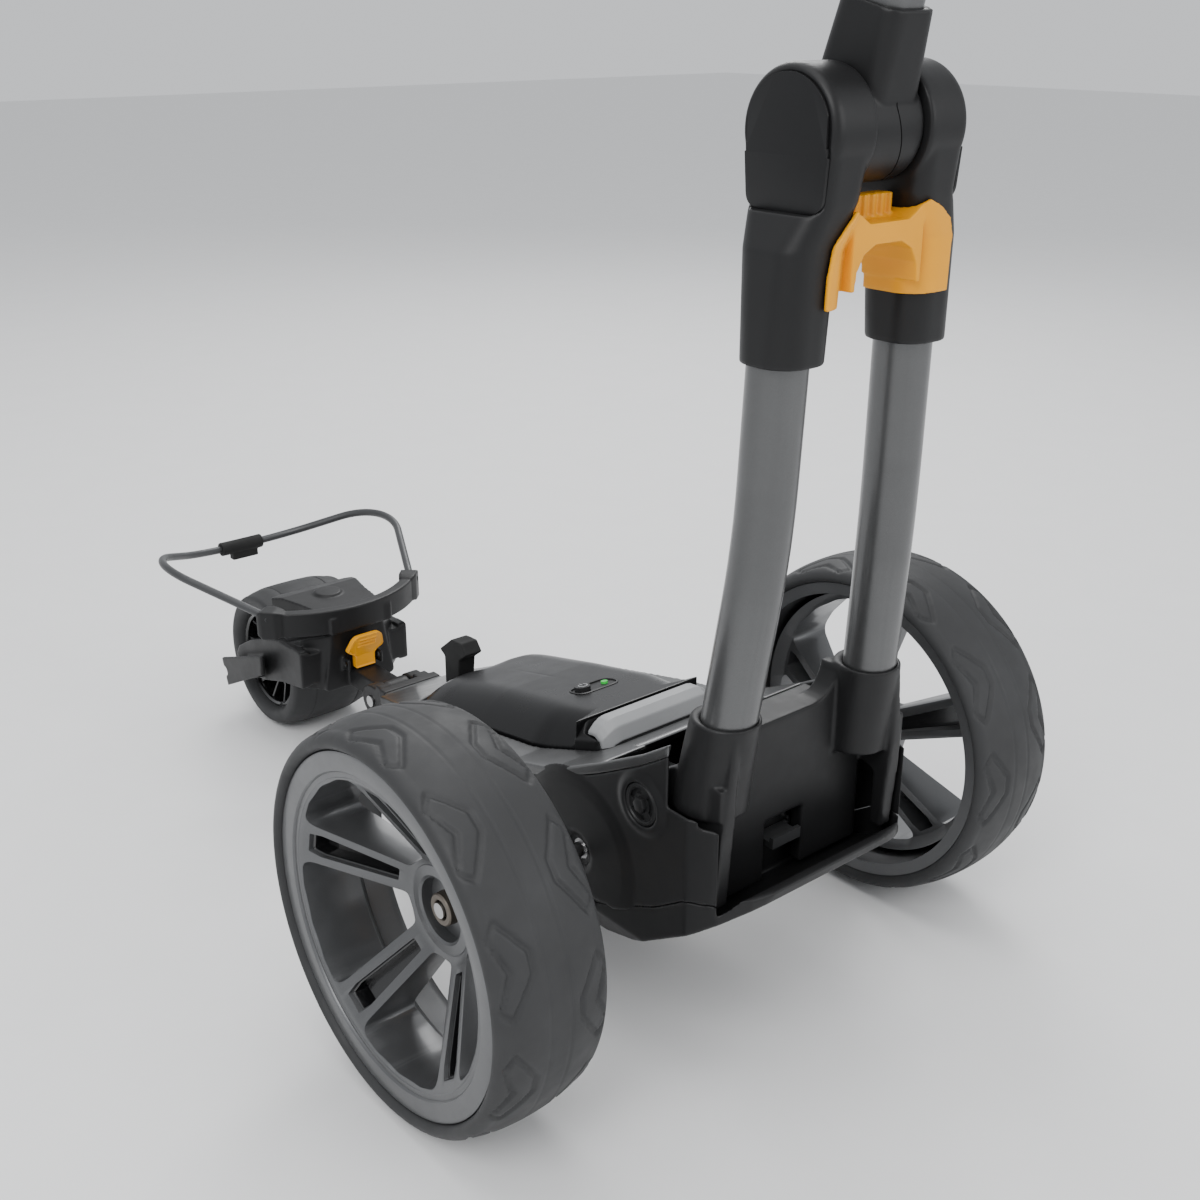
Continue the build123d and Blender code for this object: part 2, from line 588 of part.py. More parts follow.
def cover_plate(grow, y0, y1):
    """Plate let into the ear's outer face: a round head on a tapering, round-cornered foot."""
    head = rod_y(EAR_X, EAR_Z, 34 + grow, y0, y1)
    foot = [(EAR_X + 34 + grow, EAR_Z), (EAR_X + 31 + grow, 648 - grow), (EAR_X - 31 - grow, 648 - grow),
            (EAR_X - 34 - grow, EAR_Z)]
    lower = side_prism(foot, y0, y1, 10) & box((-250, 0), (0, 200), (600, EAR_Z - 12))
    return head + lower + side_prism([(EAR_X + 34 + grow, EAR_Z), (EAR_X + 33.2 + grow, EAR_Z - 14),
                                      (EAR_X - 33.2 - grow, EAR_Z - 14), (EAR_X - 34 - grow, EAR_Z)], y0, y1)


def make_top_latch():
    """Arched saddle: a wing wraps the inner edge of each sleeve, with a ribbed tooth on top."""
    arch = [(0, 627), (12, 627), (22, 622), (28, 612), (31, 590)]
    narrow = [(54, 591), (53.5, 612), (50, 630), (41, 641), (32, 649), (24, 644), (18, 640), (0, 640)]
    wide = [(62, 591), (62, 626), (56, 638), (45, 646), (34, 651), (25, 644), (18, 640), (0, 640)]
    bridge = box((-174, -128), (0, 33), (600, 660))
    saddle = Part()
    for outer, side in ((narrow, 1), (wide, -1)):
        shape = side_prism([(-182, 580), (-182, 660), (-128, 660), (-128, 580)], 0, 70)
        half = front_prism(arch + outer, -182, -128) & shape & (sleeve_loft(4) + bridge)
        half -= sleeve_loft(0.7)
        half -= rod_y(EAR_X, EAR_Z, EAR_R + 0.8, EAR_IN - 0.6, 100)
        saddle += half if side > 0 else other_side(half)
    tooth = box((-157, -145), (-21, 21), (639, 655))
    for k in range(-2, 3):
        tooth -= box((-158, -155), (8 * k - 2, 8 * k + 2), (641, 656))
    saddle += tooth
    saddle -= rod_y(EAR_X, EAR_Z, BARREL_R + 1, -80, 80)
    main = max(saddle.solids(), key=lambda s: s.volume)
    keep("top_latch", main)


def make_lower_frame():
    make_bracket()
    tube = lower_tube()
    tube -= lower_tube(TUBE_R - 2)
    keep("lower_tubes", both_sides(tube))
    joint = upper_joint() - lower_tube(TUBE_R + 0.01)
    keep("upper_joints", both_sides(joint))
    keep("ear_caps", both_sides(cover_plate(0, EAR_OUT - 2, EAR_OUT + 0.8)))
    keep("hinge_pin", rod_y(EAR_X, EAR_Z, HINGE_PIN_R, 6 - EAR_OUT, EAR_OUT - 6))
    make_top_latch()
    catch = box((-117, CATCH_X), (-15, 15), (173, 178)) + box((-117, -113.5), (-15, 15), (177, 182))
    catch += rod_y(CATCH_X, CATCH_Z, 2, -21.5, 21.5)
    keep("frame_catch", catch)


# ---- Upper stem and handle ---------------------------------------------------------------
def along_stem(shape):
    """Take a shape drawn upright over the hinge axis and lean it back with the stem."""
    return turned_y(Pos(EAR_X, 0, EAR_Z) * shape, EAR_X, EAR_Z, -STEM_TILT)


def make_stem():
    barrel = rod_y(0, 0, BARREL_R, -BARREL_HALF, BARREL_HALF)
    barrel = fillet(barrel.edges().filter_by(GeomType.CIRCLE), 2)
    neck = loft([Plane.XY.offset(20) * RectangleRounded(54, 45, 10),
                 Plane.XY.offset(74) * RectangleRounded(STEM_L + 8, STEM_W + 8, 12)])
    tube = extrude(Plane.XY.offset(40) * RectangleRounded(STEM_L, STEM_W, 12), amount=STEM_END - 40)
    core = extrude(Plane.XY.offset(40) * RectangleRounded(STEM_L - 4, STEM_W - 4, 10), amount=STEM_END - 40)
    socket_body = barrel + neck - tube - rod_y(0, 0, HINGE_PIN_R + RUN, -60, 60)
    keep("hinge_barrel", along_stem(socket_body))
    keep("stem_tube", along_stem(tube - core))
    make_upper_cradle(tube)
    make_handle(tube)


def make_upper_cradle(tube):
    """Upper bag rest: a clamp on the stem with two arms and soft pads."""
    clamp = rounded_block((-26, 34), (-24, 24), (118, 168), 6)
    clamp -= tube
    arm = round_bar(((30, 20, 143), (52, 62, 143), (96, 104, 143), (122, 112, 143)), 8, 26)
    arm -= clamp
    pad = round_bar(((62, 63, 143), (98, 97.6, 143), (119, 104.7, 143)), 6, 14)
    pad_left = pad - arm
    keep("bag_clamp", along_stem(clamp))
    keep("bag_arms", along_stem(both_sides(arm)))
    pad_left = max(pad_left.solids(), key=lambda s: s.volume)
    keep("bag_pads", along_stem(both_sides(pad_left)))


def make_handle(tube):
    """Console housing at the stem's end, two bars with grips, display, dial and key."""
    hub_side = [(-30, 250), (-62, 330), (-128, 372), (-120, 396), (-40, 366), (34, 318), (50, 290),
                (50, 250)]
    hub = side_prism(hub_side, -44, 44, 8)
    hub = fillet(hub.faces().sort_by(Axis.Y)[-1].edges(), 5)
    hub = fillet(hub.faces().sort_by(Axis.Y)[0].edges(), 5)
    slope = degrees(atan2(24, 80))
    place = Pos(-80, 0, 384) * Rot(0, -slope, 0)
    display_cut = place * Box(44, 52, 8)
    lens = place * Pos(0, 0, 1.5) * Box(43.6, 51.6, 4)
    board = place * Pos(0, 0, -2.25) * Box(43.6, 51.6, 3.4)
    dial_place = Pos(-5, 0, 333) * Rot(0, 43, 0)
    dial_well = dial_place * Cylinder(15.5, 26)
    dial_axle_hole = dial_place * Pos(0, 0, -19) * Cylinder(3 + RUN, 20)
    dial = dial_place * Pos(0, 0, 1) * Cylinder(15, 20)
    dial += dial_place * Pos(0, 0, -14) * Cylinder(3, 14)
    bar_route = ((-78, 43, 352), (-78, 120, 352), (-112, GRIP_HALF_SPAN, 352), (-205, GRIP_HALF_SPAN, 330))
    bar = round_bar(bar_route, 11, 30)
    bar -= hub
    hub_body = hub - display_cut - dial_well - dial_axle_hole - tube
    hub_body -= rod_x(0, 270, SOCKET_BORE_R, 26, 60)
    keep("console_body", along_stem(hub_body))
    keep("display_lens", along_stem(lens))
    keep("display_board", along_stem(board))
    keep("speed_dial", along_stem(dial))
    keep("handlebars", along_stem(both_sides(bar)))


# ---- Front arm and wheel -----------------------------------------------------------------
def make_front():
    knuckle = rod_y(FOLD_X, FOLD_Z, 16, -14, 14)
    knuckle += box((FOLD_X, 510), (-14, 14), (FOLD_Z - 13, FOLD_Z + 9))
    body = front_prism([(-44, 82), (-31, 150), (31, 150), (44, 82)], 506, 548, 5)
    knuckle -= rod_y(FOLD_X, FOLD_Z, 6 + RUN, -60, 60)
    wheel_gap = rod_y(FRONT_X, FRONT_Z, FRONT_R + 4, -FRONT_W / 2 - 3, FRONT_W / 2 + 3)
    inner = FRONT_W / 2 + 3.5
    blade_side = [(514, 90), (514, 132), (560, 131), (592, 123), (630, 109), (660, 92), (668, 80),
                  (662, 68), (640, 62), (600, 70), (560, 82)]
    blade = side_prism(blade_side, inner, inner + 10, 4)
    blade += side_prism([(598, 76), (636, 64), (636, 86), (598, 100)], inner + 9, 76)
    blade += side_prism([(580, 87), (669, 43), (672, 54), (667, 58), (669, 64), (675, 65), (678, 75),
                         (578, 111)], 75, 80)
    yoke = box((514, 546), (-inner - 10, inner + 10), (92, 128))
    lug = box((LATCH_X - 6, 508), (18, 22), (LATCH_Z - 8, LATCH_Z + 6))
    fork = knuckle + body + both_sides(blade) + yoke + both_sides(lug)
    fork -= rod_y(LATCH_X, LATCH_Z, 3 + RUN, -22.5, 22.5)
    fork -= wheel_gap
    fork -= rod_y(FRONT_X, FRONT_Z, 6, -inner - 13, inner + 13)
    keep("front_fork", fork)
    keep("front_axle", rod_y(FRONT_X, FRONT_Z, 6, -inner - 13, inner + 13))
    make_front_wheel()
    make_bag_cradle(wheel_gap)


def make_front_wheel():
    half = FRONT_W / 2
    rim_r = 56
    tyre_profile = [(rim_r, -half + 8), (rim_r + 8, -half), (FRONT_SHOULDER_R - 4, -half),
                    (FRONT_SHOULDER_R, -half + 3), (FRONT_R - 1.5, -half + 12),
                    (FRONT_R, -half + 24), (FRONT_R, half - 24), (FRONT_R - 1.5, half - 12),
                    (FRONT_SHOULDER_R, half - 3), (FRONT_SHOULDER_R - 4, half), (rim_r + 8, half),
                    (rim_r, half - 8)]
    keep("front_tyre", spun(tyre_profile, FRONT_X, FRONT_Z))
    rim_profile = [(11, -half + 12), (11, half - 12), (17, half - 12), (20, 12), (rim_r - 8, 10),
                   (rim_r - 4, half - 8), (rim_r, half - 8), (rim_r, -half + 8), (rim_r - 4, -half + 8),
                   (rim_r - 8, -10), (20, -12), (17, -half + 12)]
    wheel = spun(rim_profile, FRONT_X, FRONT_Z)
    for k in range(6):
        angle = radians(60 * k + 20)
        wheel -= rod_y(FRONT_X + 34 * cos(angle), FRONT_Z + 34 * sin(angle), 11.5, -60, 60)
    keep("front_rim", wheel)
    bearing = rod_y(FRONT_X, FRONT_Z, 11, half - 22, half - 12) - rod_y(FRONT_X, FRONT_Z, 6 + RUN, 0, 100)
    keep("front_bearings", both_sides(bearing))


def make_bag_cradle(wheel_gap):
    """Lower bag rest: a curved cradle over the front wheel with a wire loop round the bag's foot."""
    centre_x = 500 + CRADLE_R
    band = rod_z(centre_x, 0, CRADLE_R + 7, 151, 177) - rod_z(centre_x, 0, CRADLE_R - 6, 140, 190)
    band &= box((480, 542), (-110, 110), (100, 200))
    half = [(609, 0), (607, 45), (600, 51), (557, 41), (530, 37), (496, 37)]
    guard = plan_prism(half + [(x, -y) for x, y in reversed(half[1:])], 150, 168)
    guard &= side_prism([(490, 150), (490, 168), (585, 168), (612, 161), (612, 150)], -60, 60)
    cradle = band + guard - wheel_gap
    route = list(LOOP_HALF) + [(x, -y, z) for x, y, z in reversed(LOOP_HALF)]
    loop = round_bar_radii(route, WIRE_R)
    front_x, _, front_z = LOOP_HALF[-1]
    sleeve = round_bar_radii(route, 8) & box((front_x - 60, front_x + 30), (-26, 26), (100, 300))
    sleeve += box((front_x - 5, front_x + 5), (-20, 12), (front_z - 15, front_z - 6))
    keep("bag_cradle", cradle - round_bar_radii(route, WIRE_R + RUN))
    keep("bag_loop", loop)
    keep("loop_sleeve", sleeve - round_bar_radii(route, WIRE_R + RUN))


def round_bar_radii(points, r):
    """A round bar whose arcs are as large as the shorter run beside each corner allows."""
    corners = [Vector(*p) for p in points]
    radii = []
    for before, corner, after in zip(corners, corners[1:], corners[2:]):
        run = min((corner - before).length, (after - corner).length)
        turn = radians((corner - before).get_angle(after - corner))
        radii.append(0.45 * run / tan(max(turn, 0.02) / 2))
    path = FilletPolyline(*corners, radius=radii)
    return sweep(Plane(origin=path @ 0, z_dir=path % 0) * Circle(r), path=path)


def make_front_latch():
    """Paddle with a wide head on a narrower stem, leaning back from the arm."""
    side = [(494, 106), (502.5, 106), (504.5, 112), (504.5, 124), (498, 145), (485, 145), (489, 124)]
    outline = [(-12, 105), (12, 105), (12, 121), (21, 125), (17, 146), (-17, 146), (-21, 125), (-12, 121)]
    lever = side_prism(side, -22, 22) & front_prism(outline, 480, 510, 1.5)
    keep("front_latch", lever + rod_y(LATCH_X, LATCH_Z, 3, -21.5, 21.5))


# ---- Write the nodes ---------------------------------------------------------------------
def main():
    make_wheels()
    make_drive()
    make_chassis()
    make_battery()
    make_lower_frame()
    make_stem()
    make_front()
    make_front_latch()
    os.makedirs("parts", exist_ok=True)
    for name, shape in BUILT.items():
        export_step(Pos(-X_CENTRE, 0, 0) * shape, f"parts/{name}.step")


main()
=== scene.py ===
"""Electric golf trolley: the looks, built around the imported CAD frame. Metres, same frame as the CAD."""
import json
from math import cos, pi, radians, sin, sqrt

import bmesh
import bpy
from mathutils import Matrix, Vector

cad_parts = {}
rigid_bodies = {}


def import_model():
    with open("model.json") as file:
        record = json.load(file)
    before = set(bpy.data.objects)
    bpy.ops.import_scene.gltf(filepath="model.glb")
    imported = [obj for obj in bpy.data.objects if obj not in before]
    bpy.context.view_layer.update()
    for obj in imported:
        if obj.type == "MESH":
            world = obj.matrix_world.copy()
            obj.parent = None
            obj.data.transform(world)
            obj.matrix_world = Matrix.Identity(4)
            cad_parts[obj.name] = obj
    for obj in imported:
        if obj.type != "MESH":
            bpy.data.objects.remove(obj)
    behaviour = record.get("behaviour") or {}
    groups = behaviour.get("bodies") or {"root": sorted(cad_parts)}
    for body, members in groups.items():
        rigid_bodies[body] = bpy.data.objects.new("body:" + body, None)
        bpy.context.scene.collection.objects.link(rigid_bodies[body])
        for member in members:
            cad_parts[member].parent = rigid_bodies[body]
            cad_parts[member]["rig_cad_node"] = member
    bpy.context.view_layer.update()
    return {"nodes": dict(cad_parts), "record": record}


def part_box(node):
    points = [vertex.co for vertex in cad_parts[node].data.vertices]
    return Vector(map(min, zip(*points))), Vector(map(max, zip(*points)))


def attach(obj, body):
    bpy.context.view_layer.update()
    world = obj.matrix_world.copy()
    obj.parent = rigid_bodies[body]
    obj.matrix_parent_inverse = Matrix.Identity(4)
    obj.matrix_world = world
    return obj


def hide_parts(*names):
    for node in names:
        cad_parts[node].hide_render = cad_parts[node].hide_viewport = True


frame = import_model()
NODES = frame["nodes"]
X_CENTRE = 0.1761  # from the rear axle to the middle of the trolley
FLAKE_SCALE = 5200.0  # metal flake in the paint, far finer than the grain


# ---- Materials ---------------------------------------------------------------------------
def shader_nodes(name):
    """A new material with its node tree and shader."""
    material = bpy.data.materials.new(name)
    material.use_nodes = True
    tree = material.node_tree
    return material, tree, tree.nodes["Principled BSDF"]


def grain_texture(tree, scale, detail=3.0, roughness=0.6, stretch=(1, 1, 1)):
    """Noise in object space, as a number from 0 to 1."""
    place = tree.nodes.new("ShaderNodeTexCoord")
    mapping = tree.nodes.new("ShaderNodeMapping")
    mapping.inputs["Scale"].default_value = stretch
    tree.links.new(place.outputs["Object"], mapping.inputs["Vector"])
    texture = tree.nodes.new("ShaderNodeTexNoise")
    texture.inputs["Scale"].default_value = scale
    texture.inputs["Detail"].default_value = detail
    texture.inputs["Roughness"].default_value = roughness
    tree.links.new(mapping.outputs["Vector"], texture.inputs["Vector"])
    return texture.outputs["Fac"]


def ramp(tree, value, low, high, stops=(0.3, 0.7)):
    """A colour from low to high as the value crosses the stops."""
    node = tree.nodes.new("ShaderNodeValToRGB")
    for element, stop, colour in zip(node.color_ramp.elements, stops, (low, high)):
        element.position = stop
        element.color = (*colour, 1.0)
    tree.links.new(value, node.inputs["Fac"])
    return node.outputs["Color"]


def spread(tree, value, low, high):
    """The middle of a noise stretched to run from low to high."""
    node = tree.nodes.new("ShaderNodeMapRange")
    node.inputs["From Min"].default_value = 0.3
    node.inputs["From Max"].default_value = 0.7
    node.inputs["To Min"].default_value = low
    node.inputs["To Max"].default_value = high
    tree.links.new(value, node.inputs["Value"])
    return node.outputs["Result"]


def surface(name, colour, rough, metallic=0.0, grain=900.0, bump=0.12, depth=0.0002, vary=0.12,
            mottle=14.0, edge=0.35, coat=0.0, stretch=(1, 1, 1), flake=0.0, specular=0.5):
    """Moulded, painted or turned surface: mottled colour, a painted highlight on convex edges, uneven gloss
    and fine grain.
    """
    material, tree, bsdf = shader_nodes(name)
    links = tree.links
    bsdf.inputs["Metallic"].default_value = metallic
    bsdf.inputs["Coat Weight"].default_value = coat
    bsdf.inputs["Coat Roughness"].default_value = 0.12
    bsdf.inputs["Specular IOR Level"].default_value = specular
    low = tuple(c * (1 - vary) for c in colour)
    high = tuple(min(1.0, c * (1 + vary)) for c in colour)
    base = ramp(tree, grain_texture(tree, mottle), low, high)
    if flake:
        sparkle = ramp(tree, grain_texture(tree, FLAKE_SCALE, 1.0), (1 - flake,) * 3, (1 + flake,) * 3,
                       (0.42, 0.62))
        mix = tree.nodes.new("ShaderNodeMix")
        mix.data_type = "RGBA"
        mix.blend_type = "MULTIPLY"
        mix.inputs["Factor"].default_value = 1.0
        links.new(base, mix.inputs["A"])
        links.new(sparkle, mix.inputs["B"])
        base = mix.outputs["Result"]
    # Painted highlight: convex edges, found by pointiness, are mixed towards a lighter colour as if light
    # caught them; edge sets its strength.
    if edge:
        geometry = tree.nodes.new("ShaderNodeNewGeometry")
        edge_highlight = tree.nodes.new("ShaderNodeMapRange")
        edge_highlight.inputs["From Min"].default_value = 0.52
        edge_highlight.inputs["From Max"].default_value = 0.60
        edge_highlight.inputs["To Max"].default_value = edge
        links.new(geometry.outputs["Pointiness"], edge_highlight.inputs["Value"])
        mix = tree.nodes.new("ShaderNodeMix")
        mix.data_type = "RGBA"
        links.new(edge_highlight.outputs["Result"], mix.inputs["Factor"])
        links.new(base, mix.inputs["A"])
        mix.inputs["B"].default_value = (*(min(1.0, c * 1.6 + 0.015) for c in colour), 1.0)
        base = mix.outputs["Result"]
    links.new(base, bsdf.inputs["Base Color"])
    links.new(spread(tree, grain_texture(tree, mottle * 3.1), rough * 0.88, rough * 1.12),
              bsdf.inputs["Roughness"])
    relief = tree.nodes.new("ShaderNodeBump")
    relief.inputs["Strength"].default_value = bump
    relief.inputs["Distance"].default_value = depth
    links.new(grain_texture(tree, grain, 2.0, 0.5, stretch), relief.inputs["Height"])
    links.new(relief.outputs["Normal"], bsdf.inputs["Normal"])
    return material


def glass_window(name):
    """Dark clear window over the display."""
    material, tree, bsdf = shader_nodes(name)
    bsdf.inputs["Roughness"].default_value = 0.06
    bsdf.inputs["Coat Weight"].default_value = 1.0
    dark = ramp(tree, grain_texture(tree, 30.0), (0.004, 0.005, 0.006), (0.010, 0.012, 0.014))
    tree.links.new(dark, bsdf.inputs["Base Color"])
    return material


def glowing(name, colour, strength):
    """Small lit lens."""
    material, tree, bsdf = shader_nodes(name)
    tint = ramp(tree, grain_texture(tree, 600.0), tuple(c * 0.7 for c in colour), colour)
    tree.links.new(tint, bsdf.inputs["Base Color"])
    tree.links.new(tint, bsdf.inputs["Emission Color"])
    bsdf.inputs["Emission Strength"].default_value = strength
    bsdf.inputs["Roughness"].default_value = 0.25
    return material


# In these looks, edge is the strength of the painted highlight on convex edges.
LOOK = {
    "gunmetal": surface("gunmetal", (0.098, 0.099, 0.100), 0.36, metallic=0.75, flake=0.16, bump=0.03,
                        grain=2600.0, vary=0.04, coat=0.25, edge=0.2),
    "rim_paint": surface("rim_paint", (0.110, 0.112, 0.115), 0.40, metallic=0.7, flake=0.14, bump=0.03,
                         grain=2600.0, vary=0.05, coat=0.2, edge=0.25),
    "black_plastic": surface("black_plastic", (0.0105, 0.0105, 0.011), 0.44, grain=1500.0, bump=0.14,
                             vary=0.10, edge=0.25, specular=0.26),
    "gloss_black": surface("gloss_black", (0.006, 0.006, 0.0065), 0.16, bump=0.015, vary=0.08, coat=0.6,
                           edge=0.2),
    "tyre_rubber": surface("tyre_rubber", (0.027, 0.0275, 0.0285), 0.60, grain=1100.0, bump=0.25, vary=0.10,
                           edge=0.25, specular=0.35),
    "soft_rubber": surface("soft_rubber", (0.012, 0.012, 0.012), 0.70, grain=1300.0, bump=0.3, vary=0.12,
                           edge=0.25, specular=0.25),
    "amber_plastic": surface("amber_plastic", (0.78, 0.33, 0.004), 0.42, grain=1800.0, bump=0.2, vary=0.06,
                             edge=0.1, specular=0.3),
    "silver_plastic": surface("silver_plastic", (0.26, 0.265, 0.27), 0.42, grain=1500.0, bump=0.12,
                              vary=0.05, edge=0.2),
    "steel": surface("steel", (0.42, 0.42, 0.42), 0.30, metallic=1.0, grain=500.0, bump=0.10, vary=0.08,
                     stretch=(1, 0.05, 1), edge=0.2),
    "black_wire": surface("black_wire", (0.055, 0.056, 0.058), 0.42, metallic=0.4, grain=2200.0, bump=0.08,
                          vary=0.08, edge=0.0),
    "aluminium": surface("aluminium", (0.50, 0.50, 0.51), 0.42, metallic=1.0, grain=700.0, bump=0.18,
                         vary=0.08),
    "cells": surface("cells", (0.03, 0.10, 0.26), 0.30, bump=0.05, vary=0.10),
    "cover_plastic": surface("cover_plastic", (0.0095, 0.0095, 0.010), 0.36, grain=1700.0, bump=0.08,
                             vary=0.08, edge=0.2, specular=0.24),
    "satin_black": surface("satin_black", (0.0065, 0.0065, 0.007), 0.30, grain=1900.0, bump=0.05, vary=0.10,
                           edge=0.15, specular=0.26),
    "bronze_steel": surface("bronze_steel", (0.135, 0.118, 0.100), 0.42, metallic=0.8, grain=700.0, bump=0.10,
                            vary=0.15, edge=0.2),
    "worn_metal": surface("worn_metal", (0.060, 0.061, 0.063), 0.40, metallic=0.6, grain=700.0, bump=0.10,
                          vary=0.15, edge=0.2),
    "lamp": glowing("lamp", (0.02, 0.45, 0.05), 0.6),
    "screen": glass_window("screen"),
    "board": surface("board", (0.015, 0.12, 0.05), 0.45, grain=300.0, bump=0.4, vary=0.25),
}

DULL_NODES = ("frame_catch", "hub_collars")


def dress_cad_nodes():
    """Give every CAD node the look of its material slot."""
    for part in frame["record"]["subparts"]:
        node = NODES[part["node"]]
        node.data.materials.clear()
        look = "worn_metal" if part["node"] in DULL_NODES else part["material_slot"]
        node.data.materials.append(LOOK[look])


# ---- Studio ------------------------------------------------------------------------------
CAMERA_PLACE = (-0.9441, 0.7290, 0.7650)
CAMERA_DOWN, CAMERA_TURN = 22.11, 39.91  # degrees below level, and to the right of forward
LENS, SENSOR = 44.22, 36.0
LAMPS = (("key", (-1.2, 2.2, 2.6), (0, 0, 0.35), (1.6, 1.6), 60),
         ("fill", (-2.6, -1.0, 1.6), (0, 0, 0.4), (2.0, 1.6), 28),
         ("rim", (1.8, -1.8, 2.4), (0, 0, 0.5), (1.4, 1.4), 45),
         ("top", (0.2, 0.2, 3.0), (0, 0, 0), (2.2, 2.2), 35))


def studio():
    """Camera at the photo's angle, pale floor, soft sky and four soft area lamps."""
    camera_data = bpy.data.cameras.new("camera")
    camera = bpy.data.objects.new("camera", camera_data)
    bpy.context.collection.objects.link(camera)
    camera_data.sensor_width = SENSOR
    camera_data.lens = LENS
    camera_data.clip_start = 0.05
    camera.location = CAMERA_PLACE
    camera.rotation_euler = (radians(90 - CAMERA_DOWN), 0, radians(-90 - CAMERA_TURN))
    bpy.context.scene.camera = camera

    bpy.ops.mesh.primitive_grid_add(x_subdivisions=8, y_subdivisions=8, size=24)
    floor = bpy.context.object
    floor.name = "floor"
    pale = surface("pale_floor", (0.80, 0.80, 0.80), 0.7, vary=0.01, edge=0.0, bump=0.0)
    floor.data.materials.append(pale)

    world = bpy.data.worlds.new("studio")
    bpy.context.scene.world = world
    world.use_nodes = True
    sky = world.node_tree.nodes["Background"]
    sky.inputs["Color"].default_value = (0.92, 0.94, 0.97, 1)
    sky.inputs["Strength"].default_value = 0.85

    for name, place, target, size, power in LAMPS:
        data = bpy.data.lights.new(name, "AREA")
        data.shape = "RECTANGLE"
        data.size, data.size_y = size
        data.energy = power
        lamp_object = bpy.data.objects.new(name, data)
        bpy.context.collection.objects.link(lamp_object)
        lamp_object.location = place
        aim = Vector(target) - Vector(place)
        lamp_object.rotation_euler = aim.to_track_quat("-Z", "Y").to_euler()


# ---- Mesh helpers ------------------------------------------------------------------------
def mesh_object(name, points, faces, shift=-X_CENTRE):
    """A mesh from points whose X counts from the rear axle."""
    mesh = bpy.data.meshes.new(name)
    mesh.from_pydata([(p[0] + shift, p[1], p[2]) for p in points], [], faces)
    mesh.validate()
    made = bpy.data.objects.new(name, mesh)
    bpy.context.collection.objects.link(made)
    tidy = bmesh.new()
    tidy.from_mesh(mesh)
    bmesh.ops.recalc_face_normals(tidy, faces=tidy.faces)
    tidy.to_mesh(mesh)
    tidy.free()
    return made


def shade(piece, angle=38.0):
    """Smooth shading, kept sharp where faces meet at more than the angle."""
    shaped = bmesh.new()
    shaped.from_mesh(piece.data)
    for face in shaped.faces:
        face.smooth = True
    for edge in shaped.edges:
        edge.smooth = not (len(edge.link_faces) == 2 and edge.calc_face_angle() > radians(angle))
    shaped.to_mesh(piece.data)
    shaped.free()
    return piece


def finish(piece, look, body, replaces=(), angle=38.0):
    """Shade a piece, give it its material and slot, and let it ride on a CAD body."""
    if piece.type == "MESH":
        shade(piece, angle)
    piece.data.materials.clear()
    piece.data.materials.append(LOOK[look])
    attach(piece, body)
    if replaces:
        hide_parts(*replaces)
    return piece


def apply_modifiers(piece):
    """Replace the piece's mesh by what its modifiers make of it."""
    bpy.context.view_layer.update()
    graph = bpy.context.evaluated_depsgraph_get()
    mesh = bpy.data.meshes.new_from_object(piece.evaluated_get(graph), depsgraph=graph)
    piece.modifiers.clear()
    piece.data = mesh
    return piece


def remove(*pieces):
    """Delete pieces that were only steps on the way."""
    for piece in pieces:
        bpy.data.objects.remove(piece)


def cut(piece, *tools, operation="DIFFERENCE"):
    """Take tools out of a piece, or join or intersect them, and remove the tools."""
    for tool in tools:
        step = piece.modifiers.new("cut", "BOOLEAN")
        step.operation = operation
        step.object = tool
        step.solver = "EXACT"
        apply_modifiers(piece)
    remove(*tools)
    return piece


def bevelled(piece, width, segments=2, angle=30.0):
    """Break the edges that are sharper than the angle."""
    step = piece.modifiers.new("bevel", "BEVEL")
    step.width = width
    step.segments = segments
    step.limit_method = "ANGLE"
    step.angle_limit = radians(angle)
    step.use_clamp_overlap = True
    return apply_modifiers(piece)


def weld(mesh, gap=0.00001):
    """Merge points that lie on each other."""
    joined = bmesh.new()
    joined.from_mesh(mesh)
    bmesh.ops.remove_doubles(joined, verts=joined.verts, dist=gap)
    joined.to_mesh(mesh)
    joined.free()


def gathered(parts):
    """Points and faces of several pieces in one pair of lists."""
    points, faces = [], []
    for part in parts:
        base = len(points)
        points += [v.co.copy() for v in part.data.vertices]
        faces += [[base + i for i in polygon.vertices] for polygon in part.data.polygons]
    return points, faces


def join(name, parts):
    """One object from several closed shells."""
    points, faces = gathered(parts)
    remove(*parts)
    return mesh_object(name, points, faces, 0.0)


def moulded(name, parts, voxel=0.0014, rounds=5):
    """Fuse closed solids into one skin with softened edges, as a moulding has."""
    points, faces = gathered(parts)
    fused = bpy.data.meshes.new(name)
    fused.from_pydata(points, [], faces)
    piece = bpy.data.objects.new(name, fused)
    bpy.context.collection.objects.link(piece)
    weld(fused)
    step = piece.modifiers.new("skin", "REMESH")
    step.mode = "VOXEL"
    step.voxel_size = voxel
    step.adaptivity = 0.0
    if rounds:
        soften = piece.modifiers.new("soften", "SMOOTH")
        soften.factor = 0.5
        soften.iterations = rounds
    apply_modifiers(piece)
    remove(*[part for part in parts if "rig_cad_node" not in part])
    return piece


def cad_copy(node):
    """A free copy of a CAD node's mesh, to fuse or cut."""
    source = NODES[node]
    copy = bpy.data.objects.new(node + "_copy", source.data.copy())
    bpy.context.collection.objects.link(copy)
    weld(copy.data)
    return copy


def solid_between(rings, name="solid"):
    """A closed solid through rings with equal numbers of points."""
    count = len(rings[0])
    points = [p for ring in rings for p in ring]
    faces = [[k * count + i, k * count + (i + 1) % count, (k + 1) * count + (i + 1) % count,
              (k + 1) * count + i] for k in range(len(rings) - 1) for i in range(count)]
    faces.append(list(range(count))[::-1])
    faces.append([(len(rings) - 1) * count + i for i in range(count)])
    return mesh_object(name, points, faces)


